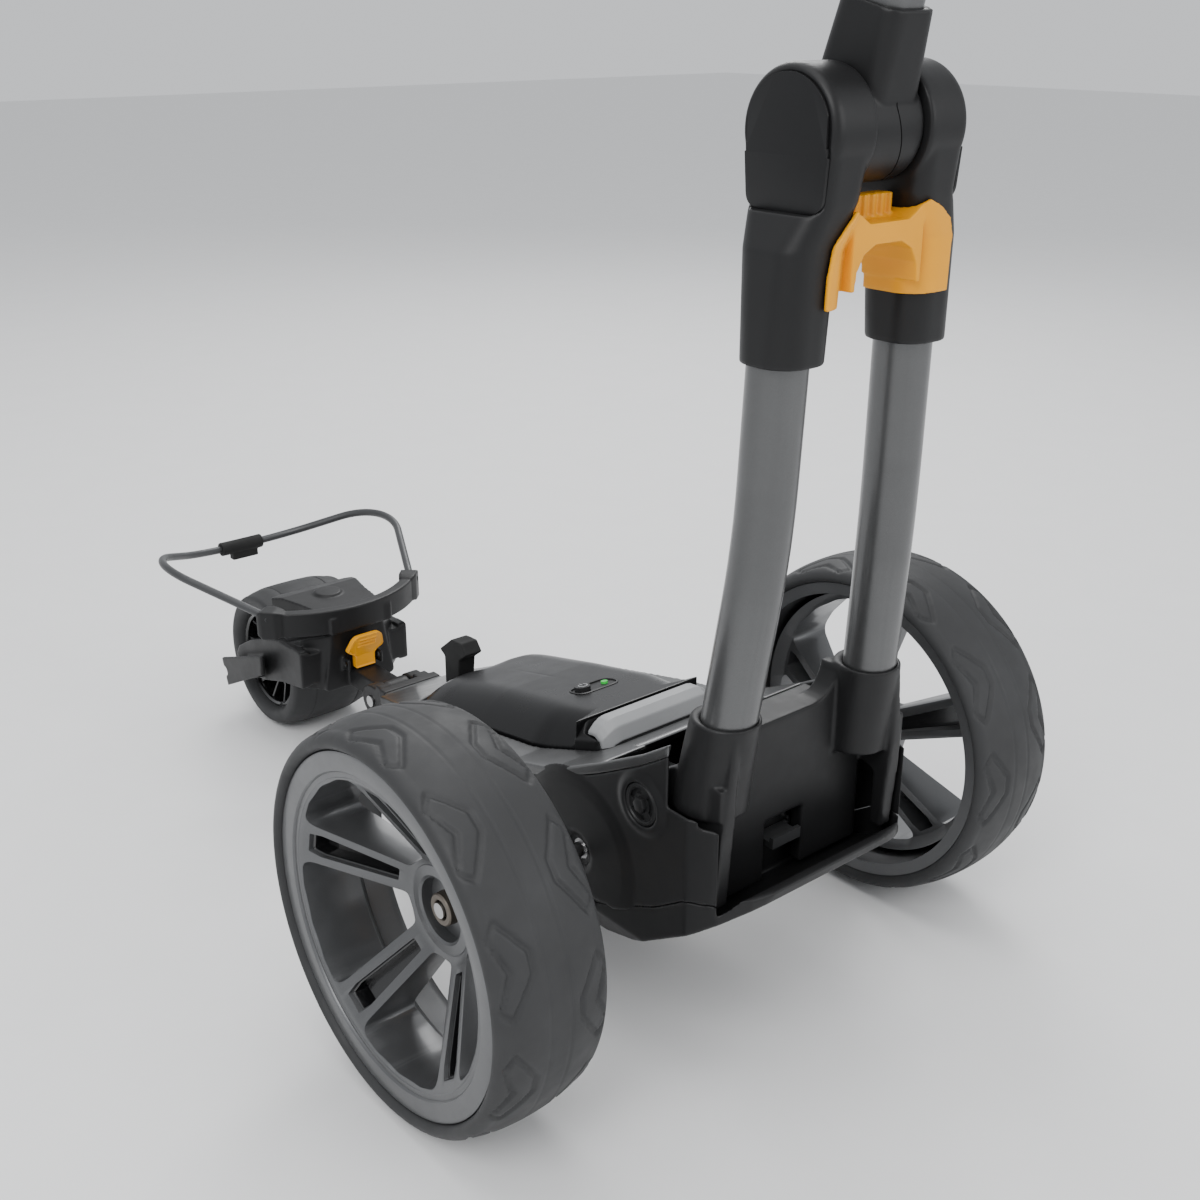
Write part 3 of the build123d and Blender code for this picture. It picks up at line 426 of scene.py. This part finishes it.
def closed_band(name, sections):
    """A ring through closed sections with equal numbers of points, the last joined to the first."""
    around, count = len(sections), len(sections[0])
    points = [p for section in sections for p in section]
    faces = [[k * count + i, k * count + (i + 1) % count,
              (k + 1) % around * count + (i + 1) % count, (k + 1) % around * count + i]
             for k in range(around) for i in range(count)]
    return mesh_object(name, points, faces)


def lathe(profile, x, z, segments=96, name="turned"):
    """A closed profile of (radius, y) points turned about the Y line through (x, z)."""
    turns = [2 * pi * k / segments for k in range(segments)]
    return closed_band(name, [[(x + r * cos(a), y, z + r * sin(a)) for r, y in profile] for a in turns])


def lathe_z(x, y, profile, segments=48):
    """A solid of (radius, z) points turned about the upright line through (x, y)."""
    return solid_between([[(x + r * cos(2 * pi * k / segments), y + r * sin(2 * pi * k / segments), z)
                           for k in range(segments)] for r, z in profile])


def rounded(corners, radius, steps=5):
    """Corners of a closed outline replaced by arcs; radius is one number or one for each corner."""
    outline = []
    count = len(corners)
    for k, corner in enumerate(corners):
        here = Vector(corner)
        before = Vector(corners[k - 1]) - here
        after = Vector(corners[(k + 1) % count]) - here
        r = radius[k] if isinstance(radius, (list, tuple)) else radius
        half = before.angle(after) / 2
        if r <= 0 or half < 0.05 or abs(half - pi / 2) < 0.02:
            outline.append(here)
            continue
        setback = min(r / abs(sin(half) / cos(half)), 0.48 * before.length, 0.48 * after.length)
        start, end = here + before.normalized() * setback, here + after.normalized() * setback
        for i in range(steps + 1):
            t = i / steps
            outline.append(start * (1 - t) ** 2 + here * 2 * t * (1 - t) + end * t * t)
    return outline


def prism(outline, low, high, axis):
    """An outline pulled along an axis: X takes (y, z) points, Y takes (x, z), Z takes (x, y)."""
    def place(p, level):
        a, b = p[0], p[1]
        return {"X": (level, a, b), "Y": (a, level, b), "Z": (a, b, level)}[axis]
    return solid_between([[place(p, low) for p in outline], [place(p, high) for p in outline]])


def block(x, y, z):
    """A block from three (low, high) pairs."""
    return prism([(x[0], y[0]), (x[1], y[0]), (x[1], y[1]), (x[0], y[1])], z[0], z[1], "Z")


def mirrored(piece, name):
    """The same piece on the other side of the centre plane."""
    mesh = piece.data.copy()
    mesh.transform(Matrix.Diagonal((1, -1, 1, 1)))
    mesh.flip_normals()
    made = bpy.data.objects.new(name, mesh)
    bpy.context.collection.objects.link(made)
    return made


def distance_to_outline(px, py, outline):
    """Distance from a point to the nearest side of a closed outline."""
    best = 1.0
    for (ax, ay), (bx, by) in zip(outline, outline[1:] + outline[:1]):
        dx, dy = bx - ax, by - ay
        t = max(0.0, min(1.0, ((px - ax) * dx + (py - ay) * dy) / (dx * dx + dy * dy)))
        best = min(best, sqrt((px - ax - t * dx) ** 2 + (py - ay - t * dy) ** 2))
    return best


def groove(distance, half_width, depth):
    """Depth of a rounded groove at a distance from its middle."""
    if distance >= half_width:
        return 0.0
    return depth * (1 - (distance / half_width) ** 2) ** 0.6


# ---- Rear wheels -------------------------------------------------------------------------
AXLE_Z = 0.155
AXLE_X = 0.0
TYRE_R = 0.155
TYRE_MIDDLE = 0.2475
SPOKE_PAIRS = 5
SPOKE_PHASE = 13.3
TREAD_CELLS = 10
CELL_STEPS = 60
SHOULDER_Y = 0.0362


def tyre_profile():
    """Half of the tyre's outside, (radius, distance from its middle), bead to crown."""
    half = [(0.1375, 0.0400), (0.1388, 0.0440), (0.1405, 0.0458)]
    for k in range(9):
        a = radians(6 + 84 * k / 8)
        half.append((0.1408 + 0.0096 * sin(a), SHOULDER_Y + 0.0103 * cos(a)))
    for k in range(1, 29):
        y = SHOULDER_Y * (1 - k / 28)
        half.append((TYRE_R - 0.0046 * (y / SHOULDER_Y) ** 2.3, y))
    return half


def tread_depth(along, across):
    """Groove depth at a place on the tread: two fine rings and a bent outline on each shoulder."""
    depth = groove(abs(abs(across) - 0.0085), 0.0009, 0.0006)
    outline = [(-0.034, 0.0345), (-0.009, 0.0175), (0.006, 0.0175), (0.034, 0.0350), (0.025, 0.0440),
               (0.001, 0.0325), (-0.024, 0.0425)]
    return max(depth, groove(distance_to_outline(along, abs(across), outline), 0.0022, 0.0019))


def build_tyre(name):
    """Tyre whose two halves of the tread are half a pitch apart."""
    half = tyre_profile()
    profile = [(r, TYRE_MIDDLE + y) for r, y in half] + [(r, TYRE_MIDDLE - y) for r, y in half[-2::-1]]
    around = CELL_STEPS * TREAD_CELLS
    pitch = 2 * pi * TYRE_R / TREAD_CELLS
    cell = []
    for k in range(CELL_STEPS):
        column = []
        for r, y in profile:
            across = y - TYRE_MIDDLE
            shift = 0.0 if across > 0 else 0.5
            along = ((k / CELL_STEPS + shift) % 1.0 - 0.5) * pitch
            reach = across if abs(across) < 0.036 else across * (1 + (0.1500 - min(r, 0.15)) * 30)
            column.append(tread_depth(along, reach))
        cell.append(column)
    sections = []
    for k in range(around):
        a = 2 * pi * k / around
        sections.append([(AXLE_X + (r - depth) * cos(a), y, AXLE_Z + (r - depth) * sin(a))
                         for (r, y), depth in zip(profile, cell[k % CELL_STEPS])])
    return closed_band(name, sections)


def polar_place(r, offset, y, angle):
    """A point r out along a spoke pair's middle line and offset to its side."""
    a = radians(angle)
    return (AXLE_X + r * cos(a) - offset * sin(a), y, AXLE_Z + r * sin(a) + offset * cos(a))


def wheel_prism(outline, y0, y1, angle):
    """An outline in a wheel's plane pulled along the axle."""
    return solid_between([[polar_place(r, s, y, angle) for r, s in outline] for y in (y0, y1)])


def window_outline():
    """Opening between two spoke pairs, drawn about the line midway between them."""
    lean = radians(36)
    corners = []
    for r, s in ((0.0385, 0.0130), (0.1135, 0.0185)):
        along = r * cos(lean) + s * sin(lean)
        aside = r * sin(lean) - s * cos(lean)
        corners.append((along, -aside))
    (r0, s0), (r1, s1) = corners
    outer = [(0.1150 * cos(a), 0.1150 * sin(a)) for a in (radians(-15), 0, radians(15))]
    return rounded([(r0, s0), (r1, s1)] + outer + [(r1, -s1), (r0, -s0)],
                   [0.006, 0.009, 0.03, 0.05, 0.03, 0.009, 0.006])


def pocket_outline(shrink=0.0):
    """Pocket between the two spokes of a pair."""
    return rounded([(0.046 + shrink, -0.0056 + shrink), (0.046 + shrink, 0.0056 - shrink),
                    (0.100, 0.0104 - shrink), (0.1090 - shrink, 0.0086 - shrink),
                    (0.1090 - shrink, shrink - 0.0086), (0.100, shrink - 0.0104)], 0.0014, 3)


def build_rim(name):
    """Cast rim: face ring, deep barrel and a dished star of five twin spokes."""
    star = lathe([(0.0250, 0.2140), (0.0250, 0.2370), (0.0360, 0.2375), (0.0410, 0.2400), (0.1130, 0.2850),
                  (0.1165, 0.2868), (0.1225, 0.2868), (0.1225, 0.2320), (0.1130, 0.2400), (0.0400, 0.2140)],
                 AXLE_X, AXLE_Z, 240)
    for k in range(SPOKE_PAIRS):
        angle = SPOKE_PHASE + 72 * k
        cut(star, wheel_prism(window_outline(), 0.19, 0.31, angle + 36))
        cut(star, wheel_prism(pocket_outline(), 0.19, 0.31, angle))
    bevelled(star, 0.0011, 2, 32)
    barrel = lathe([(0.1375, 0.2060), (0.1375, 0.2880), (0.1368, 0.2895), (0.1350, 0.2902), (0.1222, 0.2892),
                    (0.1212, 0.2882), (0.1208, 0.2874), (0.1172, 0.2874), (0.1162, 0.2866), (0.1160, 0.2850),
                    (0.1190, 0.2780), (0.1255, 0.2640), (0.1262, 0.2620), (0.1290, 0.2120), (0.1270, 0.2070)],
                   AXLE_X, AXLE_Z, 240)
    hub = lathe([(0.0095, 0.2070), (0.0095, 0.2270), (0.0245, 0.2280), (0.0252, 0.2370), (0.0270, 0.2384),
                 (0.0345, 0.2380), (0.0362, 0.2366), (0.0364, 0.2300), (0.0330, 0.2180), (0.0260, 0.2070)],
                AXLE_X, AXLE_Z, 120)
    for part in (barrel, hub):
        shade(part)
    return join(name, [star, barrel, hub])


def build_pockets(name):
    """Gloss black linings of the pockets: a floor and four walls in each."""
    parts = []
    for k in range(SPOKE_PAIRS):
        angle = SPOKE_PHASE + 72 * k
        outer = pocket_outline(0.0002)
        inner = pocket_outline(0.0012)
        rings = []
        for outline, level in ((outer, -0.022), (outer, -0.0035), (inner, -0.0042), (inner, -0.0160)):
            rings.append([polar_place(r, s, 0.2400 + (r - 0.041) * 0.625 + level, angle) for r, s in outline])
        parts.append(solid_between(rings))
    return join(name, parts)


def build_hub_fittings(name):
    """Bearing ring and the hexagon end that closes the hub."""
    ring = lathe([(0.0075, 0.2290), (0.0075, 0.2368), (0.0083, 0.2376), (0.0118, 0.2376), (0.0128, 0.2366),
                  (0.0130, 0.2290)], AXLE_X, AXLE_Z, 64)
    nut = solid_between([[polar_place(0.0070 * cos(a), 0.0070 * sin(a), y, 0)
                          for a in [pi / 3 * i for i in range(6)]] for y in (0.2290, 0.2345)])
    bevelled(nut, 0.0006)
    return join(name, [ring, nut])


def make_rear_wheels():
    """Both rear wheels; the right one mirrors the left."""
    for side in ("left", "right"):
        built = {"tread": build_tyre("tread_" + side), "cast": build_rim("cast_rim_" + side),
                 "pockets": build_pockets("spoke_pockets_" + side),
                 "fit": build_hub_fittings("hub_ring_" + side)}
        if side == "right":
            for key, piece in list(built.items()):
                name = piece.name
                piece.name = name + "_drawn"
                built[key] = mirrored(piece, name)
                remove(piece)
        finish(built["tread"], "tyre_rubber", "drive_axle", ["tyre_" + side], 60)
        finish(built["cast"], "rim_paint", "drive_axle", ["rim_" + side], 35)
        finish(built["pockets"], "gloss_black", "drive_axle", ["spoke_inserts"], 35)
        finish(built["fit"], "bronze_steel", "drive_axle", ["hub_bushes"], 35)


# ---- Upper hinge -------------------------------------------------------------------------
HINGE_X, HINGE_Z = -0.142, 0.694
EAR_FACE = 0.0620


def cover_outline(r=0.0336):
    """Cover plate in the ear: round top, tapering sides, rounded foot."""
    arc = [(HINGE_X + r * cos(a), HINGE_Z + r * sin(a)) for a in [pi * k / 28 for k in range(29)]]
    foot = rounded([(HINGE_X - r, 0.681), (HINGE_X - r + 0.0028, 0.6484), (HINGE_X, 0.6478),
                    (HINGE_X + r - 0.0028, 0.6484), (HINGE_X + r, 0.681)],
                   [0.001, 0.010, 0.04, 0.010, 0.001], 8)
    return [Vector(p) for p in arc] + foot


def make_sleeves():
    """Sleeves over the tubes' ends, with a cover plate let into each ear."""
    sleeves = moulded("hinge_sleeves", [cad_copy("upper_joints")], 0.0013, 7)
    finish(sleeves, "black_plastic", "lower_frame", ["upper_joints"], 60)
    for side, word in ((1, "left"), (-1, "right")):
        low, high = sorted((side * (EAR_FACE - 0.0016), side * (EAR_FACE + 0.0008)))
        plate = prism(cover_outline(), low, high, "Y")
        plate.name = "hinge_cover_" + word
        for end in (-1, 1):
            x = HINGE_X + end * 0.0336
            notch = prism([(x - 0.0018, 0.686), (x + 0.0018, 0.686), (x + 0.0018, 0.704),
                           (x - 0.0018, 0.704)], min(0, side), max(0, side), "Y")
            cut(plate, notch)
        bevelled(plate, 0.0007, 3)
        finish(plate, "cover_plastic", "lower_frame", ["ear_caps"], 40)


def make_barrel():
    """Barrel between the ears, with a wavy parting seam round it."""
    barrel = moulded("barrel_housing", [cad_copy("hinge_barrel")], 0.0013, 5)
    sections = []
    for k in range(96):
        a = 2 * pi * k / 96
        y = -0.006 + 0.0105 * sin(a - 0.5) * abs(sin((a - 0.5) / 2))
        sections.append([(HINGE_X + r * cos(a), y + side, HINGE_Z + r * sin(a)) for r, side in
                         ((0.0330, -0.0005), (0.0330, 0.0005), (0.0350, 0.0005), (0.0350, -0.0005))])
    cut(barrel, closed_band("seam", sections))
    finish(barrel, "black_plastic", "handle", ["hinge_barrel"], 50)


def make_saddle():
    """Amber latch: one wing on each sleeve, joined by an arch with a ribbed tooth on it."""
    saddle = moulded("hinge_saddle", [cad_copy("top_latch")], 0.0009, 6)
    finish(saddle, "amber_plastic", "hinge_lock", ["top_latch"], 60)


# ---- Folding frame's foot ----------------------------------------------------------------
def make_frame_foot():
    """Foot of the folding frame, with a hollow curve between each socket and the bridge."""
    parts = [cad_copy("frame_foot"), block((-0.1130, -0.0820), (-0.050, 0.050), (0.262, 0.2800))]
    for side in (1, -1):
        fillet = [(side * 0.026, 0.2785), (side * 0.060, 0.2785), (side * 0.060, 0.3040)]
        fillet += [(side * (0.0265 + 0.0245 * cos(radians(15 * k))), 0.3040 - 0.0240 * sin(radians(15 * k)))
                   for k in range(7)]
        parts.append(prism(fillet, -0.1130, -0.0950, "X"))
    foot = moulded("frame_foot_casting", parts, 0.0014, 7)
    finish(foot, "black_plastic", "lower_frame", ["frame_foot"], 60)


# ---- Chassis -----------------------------------------------------------------------------
PIVOT_X, PIVOT_Z = -0.075, 0.229


def make_pivot_cap(word, side):
    """Round cap with three slots and a hexagon at the frame's pivot."""
    plug = lathe([(r, side * y) for r, y in
                  ((0.0165, 0.1082), (0.0165, 0.1108), (0.0155, 0.1118), (0.0140, 0.1118),
                   (0.0132, 0.1108), (0.0010, 0.1104), (0.0010, 0.1082))], PIVOT_X, PIVOT_Z, 72)
    for k in range(3):
        slot = []
        for r, sweep in ((0.0085, range(-40, 41, 10)), (0.0122, range(40, -41, -10))):
            turns = [radians(120 * k + 50 + a) for a in sweep]
            slot += [(PIVOT_X + r * cos(turn), PIVOT_Z + r * sin(turn)) for turn in turns]
        low, high = sorted((side * 0.1092, side * 0.1150))
        cut(plug, prism(slot, low, high, "Y"))
    low, high = sorted((side * 0.1090, side * 0.1138))
    bolt = prism([(PIVOT_X + 0.0062 * cos(pi / 3 * k), PIVOT_Z + 0.0062 * sin(pi / 3 * k))
                  for k in range(6)], low, high, "Y")
    bevelled(bolt, 0.0006)
    cap = join("pivot_cap_" + word, [plug, bolt])
    finish(cap, "black_plastic", "chassis", ["pivot_bolts"], 35)


def make_casing():
    """Side casings with a boss round the pivot and a bulge round the axle, then the other mouldings."""
    for word, side in (("left", 1), ("right", -1)):
        boss = lathe([(0.0172, side * y) for y in (0.1072, 0.1120)]
                     + [(0.0180, side * 0.1126), (0.0200, side * 0.1126), (0.0240, side * 0.1112),
                        (0.0270, side * 0.1096), (0.0270, side * 0.1072)], PIVOT_X, PIVOT_Z, 72)
        bulge = lathe([(0.0180, side * 0.1075), (0.0180, side * 0.1116), (0.0560, side * 0.1116),
                       (0.0640, side * 0.1108), (0.0700, side * 0.1092), (0.0700, side * 0.1075)],
                      AXLE_X, AXLE_Z, 120)
        low, high = sorted((side * 0.10, side * 0.12))
        cut(bulge, prism([(-0.045, 0.124), (0.10, 0.122), (0.10, 0.30), (-0.10, 0.30), (-0.10, 0.150)],
                         low, high, "Y"), operation="INTERSECT")
        cover = moulded("side_casing_" + word, [cad_copy("side_cover_" + word), boss, bulge], 0.0014, 5)
        finish(cover, "black_plastic", "chassis", ["side_cover_" + word], 60)
        make_pivot_cap(word, side)
    for name, node, voxel, rounds in (("belly_moulding", "belly_pan", 0.0014, 5),
                                      ("front_casing", "front_shell", 0.0014, 5),
                                      ("battery_bay", "battery_tray", 0.0012, 2)):
        piece = moulded(name, [cad_copy(node)], voxel, rounds)
        finish(piece, "black_plastic", "chassis", [node], 60)


def make_deck():
    """Painted deck band round the battery, and the black hinge block at its nose."""
    split = 0.4020  # where the painted band ends
    sides, levels = (-0.2, 0.2), (0.0, 0.4)
    band = cut(cad_copy("deck_frame"), block((-0.3, split), sides, levels), operation="INTERSECT")
    band = moulded("deck_band", [band], 0.0013, 3)
    finish(band, "gunmetal", "chassis", ["deck_frame"], 50)
    nose = cut(cad_copy("deck_frame"), block((split, 0.5), sides, levels), operation="INTERSECT")
    nose = moulded("nose_hinge", [nose], 0.0011, 4)
    finish(nose, "black_plastic", "chassis", ["deck_frame"], 50)
    peg = moulded("bag_stop_peg", [cad_copy("bumper_peg")], 0.0008, 4)
    finish(peg, "soft_rubber", "chassis", ["bumper_peg"], 50)


# ---- Battery -----------------------------------------------------------------------------
LID_STEPS = 32
KEY_X = 0.112
LID_SLOPE = 0.176


def lid_top(x):
    """Height of the lid along its middle."""
    stops = ((0.0, 0.236), (0.047, 0.2325), (0.110, 0.2215), (0.175, 0.2085), (0.262, 0.1880),
             (0.294, 0.1770))
    for (x0, z0), (x1, z1) in zip(stops, stops[1:]):
        if x <= x1:
            return z0 + (z1 - z0) * (x - x0) / (x1 - x0)
    return stops[-1][1]


def lid_edge(x):
    """Height of the deck band beside the lid."""
    return 0.2140 - 0.2778 * (x - 0.030) if x < 0.084 else 0.1990 - 0.1675 * (x - 0.084)


def lid_height(x, inward):
    """Height of the lid at a distance in from its edge."""
    share = min(1.0, inward / 0.040)
    return lid_edge(x) + (lid_top(x) - lid_edge(x)) * (1 - (1 - share) ** 2.4)


def make_lift_handle():
    """Silver bar across the battery's heel, hooked over at the back and turned down at its ends."""
    section = [(0.0460, 0.2340), (0.0345, 0.2352), (0.0262, 0.2310), (0.0212, 0.2195), (0.0238, 0.2185),
               (0.0290, 0.2285), (0.0360, 0.2318), (0.0460, 0.2310)]
    rings = []
    for y in (-0.061, -0.059, -0.055, -0.050, -0.045, 0.0, 0.045, 0.050, 0.055, 0.059, 0.061):
        turned = max(0.0, (abs(y) - 0.045) / 0.016)
        rings.append([(x + 0.004 * turned ** 3 * (0.046 - x) / 0.025, y, z - 0.010 * turned ** 2)
                      for x, z in section])
    handle = moulded("lift_handle", [solid_between(rings)], 0.0008, 5)
    finish(handle, "silver_plastic", "battery_pack", ["battery_handle"], 50)


def make_power_symbol():
    """Plain ring and stroke on the power button."""
    low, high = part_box("power_button")
    x, y = (low[0] + high[0]) / 2 + X_CENTRE, (low[1] + high[1]) / 2
    z = high[2] - 0.0006
    arc = [(x + r * cos(radians(a)), y + r * sin(radians(a)))
           for r, sweep in ((0.0034, range(40, 321, 20)), (0.0042, range(320, 39, -20))) for a in sweep]
    ring = solid_between([[(px, py, z - (px - x) * LID_SLOPE + rise) for px, py in arc]
                          for rise in (-0.0008, 0.0003)])
    stroke = solid_between([[(x + dx, y + dy, z - dx * LID_SLOPE + rise) for dx, dy in
                             ((0.0012, -0.0004), (0.0048, -0.0004), (0.0048, 0.0004), (0.0012, 0.0004))]
                            for rise in (-0.0008, 0.0003)])
    finish(join("power_symbol", [ring, stroke]), "silver_plastic", "battery_key", [], 40)


def make_lid():
    """Domed lid with a well for the key, its heel, the handle and the case below."""
    half = [(0.0535, 0.0680), (0.0980, 0.0766), (0.2550, 0.0736), (0.2780, 0.0660), (0.2893, 0.0420)]
    outline = rounded(half + [(x, -y) for x, y in reversed(half)],
                      [0.004, 0.05, 0.09, 0.03, 0.03, 0.03, 0.03, 0.09, 0.05, 0.004], 8)
    dense = []
    for a, b in zip(outline, outline[1:] + outline[:1]):
        steps = max(1, int((b - a).length / 0.004))
        dense += [a + (b - a) * k / steps for k in range(steps)]
    rings = [[(p.x, p.y, lid_edge(p.x) - drop) for p in dense] for drop in (0.012, 0.001)]
    for step in range(LID_STEPS + 1):
        t = (step / LID_STEPS) ** 1.5 * 0.985
        ring = []
        for p in dense:
            spine = Vector((max(0.075, min(0.235, p.x)), 0))
            q = p + (spine - p) * t
            inward = (q - p).length + 0.0012 if p.x > 0.0545 else 0.05
            ring.append((q.x, q.y, lid_height(q.x, inward)))
        rings.append(ring)
    top = solid_between(rings)
    pad = rounded([(0.1010, -0.0225), (0.1230, -0.0225), (0.1230, 0.0225), (0.1010, 0.0225)], 0.0108, 10)
    well = solid_between([[(p.x, p.y, lid_top(p.x) - 0.0010) for p in pad], [(p.x, p.y, 0.26) for p in pad]])
    cut(top, well)
    top = moulded("battery_cover", [top], 0.0011, 4)
    finish(top, "satin_black", "battery_pack", ["battery_lid"], 50)
    rim = solid_between([[(p.x + (p.x - KEY_X) * k, p.y * (1 + k * 0.45), lid_top(p.x) + z) for p in pad]
                         for k, z in ((0.02, -0.0012), (0.02, 0.0004), (-0.10, 0.0006), (-0.13, -0.0006))])
    rim.name = "key_surround"
    finish(rim, "black_plastic", "battery_pack", [], 40)
    heel = cut(cad_copy("battery_lid"), block((-0.01, 0.0560), (-0.2, 0.2), (0.0, 0.4)),
               operation="INTERSECT")
    heel = moulded("battery_heel", [heel], 0.0010, 4)
    finish(heel, "black_plastic", "battery_pack", ["battery_lid"], 50)
    make_lift_handle()
    base = moulded("battery_case", [cad_copy("battery_base")], 0.0014, 3)
    finish(base, "black_plastic", "battery_pack", ["battery_base"], 50)


# ---- Front arm ---------------------------------------------------------------------------
FRONT_X, FRONT_Z = 0.632, 0.079


def make_front_wheel():
    """Front tyre, and a rim with twelve ribs on each side."""
    half = [(0.0560, 0.0445), (0.0600, 0.0505), (0.0640, 0.0525), (0.0690, 0.0522)]
    half += [(0.0690 + 0.0052 * sin(radians(a)), 0.0470 + 0.0052 * cos(radians(a)))
             for a in range(10, 90, 16)]
    half += [(0.0745, 0.0450), (0.0765, 0.0380), (0.0782, 0.0290), (0.0780, 0.0282), (0.0774, 0.0278),
             (0.0780, 0.0272), (0.0785, 0.0262), (0.0790, 0.0100), (0.0790, 0.0)]
    profile = half + [(r, -y) for r, y in half[-2::-1]]
    tyre = lathe(profile, FRONT_X, FRONT_Z, 200, "nose_tyre")
    finish(tyre, "tyre_rubber", "front_wheel", ["front_tyre"], 40)
    ring = lathe([(0.0558, -0.0440), (0.0558, 0.0440), (0.0530, 0.0450), (0.0510, 0.0430), (0.0500, 0.0150),
                  (0.0500, -0.0150), (0.0510, -0.0430), (0.0530, -0.0450)], FRONT_X, FRONT_Z, 160)
    hub = lathe([(0.0112, -0.0405), (0.0112, 0.0405), (0.0160, 0.0405), (0.0175, 0.0380), (0.0190, 0.0100),
                 (0.0190, -0.0100), (0.0175, -0.0380), (0.0160, -0.0405)], FRONT_X, FRONT_Z, 64)
    parts = [ring, hub]
    for side in (1, -1):
        for k in range(12):
            a = radians(30 * k + 8)
            rings = []
            for r, y, wide, thick in ((0.0165, 0.0370, 0.0016, 0.0050), (0.0330, 0.0330, 0.0013, 0.0045),
                                      (0.0515, 0.0400, 0.0016, 0.0050)):
                corners = ((-wide, -thick), (wide, -thick), (wide, 0), (0.0005, 0.0006), (-wide, 0))
                rings.append([(FRONT_X + r * cos(a) - s * sin(a), side * (y + t),
                               FRONT_Z + r * sin(a) + s * cos(a)) for s, t in corners])
            parts.append(solid_between(rings))
    finish(join("nose_rim", parts), "gloss_black", "front_wheel", ["front_rim"], 40)


def make_front_arm():
    """Fork with filled shoulders, and the bag cradle with a collar at each end of its arc."""
    parts = [cad_copy("front_fork")]
    foot = 0.084
    for side in (1, -1):
        rings = []
        for x, inner, outer, high in ((0.508, 0.020, 0.040, 0.146), (0.530, 0.020, 0.060, 0.139),
                                      (0.546, 0.044, 0.064, 0.133), (0.558, 0.050, 0.064, 0.128)):
            rings.append([(x, side * inner, foot), (x, side * outer, foot), (x, side * (outer - 0.006), high),
                          (x, side * inner, high)])
        parts.append(solid_between(rings))
    fork = moulded("fork_casting", parts, 0.0014, 12)
    finish(fork, "black_plastic", "front_arm", ["front_fork"], 60)
    arc_x, arc_r = 0.619, 0.119
    parts = [cad_copy("bag_cradle")]
    for side in (1, -1):
        rings = []
        for a, wide, low, high in ((141, 0.0075, 0.152, 0.178), (137, 0.0098, 0.1495, 0.1800),
                                   (131, 0.0098, 0.1495, 0.1800), (129, 0.0080, 0.152, 0.178)):
            c, d = cos(radians(a)), sin(radians(a))
            rings.append([(arc_x + (arc_r + w) * c, side * (arc_r + w) * d, z)
                          for w, z in ((-wide, low), (wide, low), (wide, high), (-wide, high))])
        parts.append(solid_between(rings))
    dome = lathe_z(0.566, 0.0, ((0.0150, 0.158), (0.0150, 0.1695), (0.0138, 0.1705), (0.0030, 0.1710)))
    cradle = moulded("bag_rest_cradle", parts + [dome], 0.0012, 5)
    finish(cradle, "black_plastic", "front_arm", ["bag_cradle"], 60)
    sleeve = moulded("loop_grip", [cad_copy("loop_sleeve")], 0.0008, 4)
    finish(sleeve, "soft_rubber", "front_arm", ["loop_sleeve"], 50)


def make_front_latch():
    """Amber paddle with a narrow neck and three grip ridges."""
    outline = rounded([(-0.0160, 0.1455), (0.0160, 0.1455), (0.0222, 0.1265), (0.0118, 0.1205),
                       (0.0118, 0.1060), (-0.0118, 0.1060), (-0.0118, 0.1205), (-0.0222, 0.1265)],
                      [0.009, 0.009, 0.005, 0.005, 0.001, 0.001, 0.005, 0.005])

    def lean(z):
        return max(0.0, z - 0.1230) * -0.42

    rings = [[(x + lean(z), y * k, 0.1260 + (z - 0.1260) * k) for y, z in outline]
             for x, k in ((0.4945, 0.90), (0.4932, 1.0), (0.5000, 1.0), (0.5025, 0.92))]
    paddle = solid_between(rings)
    ridges = [solid_between([[(0.4938 + lean(z) - dx, y, z + dz) for dx, dz in
                              ((-0.002, -0.0012), (0.0014, -0.0007), (0.0014, 0.0007), (-0.002, 0.0012))]
                             for y in (-0.0105, 0.0105)]) for z in (0.1320, 0.1360, 0.1400)]
    paddle = moulded("arm_release", [paddle] + ridges, 0.0006, 3)
    finish(paddle, "amber_plastic", "arm_lock", ["front_latch"], 50)


# ---- Handle ------------------------------------------------------------------------------
def make_handle():
    """Console, grips, upper bag rest and dial."""
    for name, node, look, voxel, rounds in (
            ("console_housing", "console_body", "black_plastic", 0.0014, 5),
            ("handle_grips", "handlebars", "soft_rubber", 0.0012, 3),
            ("rest_clamp", "bag_clamp", "black_plastic", 0.0012, 4),
            ("rest_pads", "bag_pads", "soft_rubber", 0.0011, 5),
            ("control_dial", "speed_dial", "soft_rubber", 0.0007, 4)):
        piece = moulded(name, [cad_copy(node)], voxel, rounds)
        body = "dial" if node == "speed_dial" else "handle"
        finish(piece, look, body, [node], 50)


dress_cad_nodes()
make_rear_wheels()
make_sleeves()
make_barrel()
make_saddle()
make_frame_foot()
make_casing()
make_deck()
make_lid()
make_power_symbol()
make_front_wheel()
make_front_arm()
make_front_latch()
make_handle()
studio()
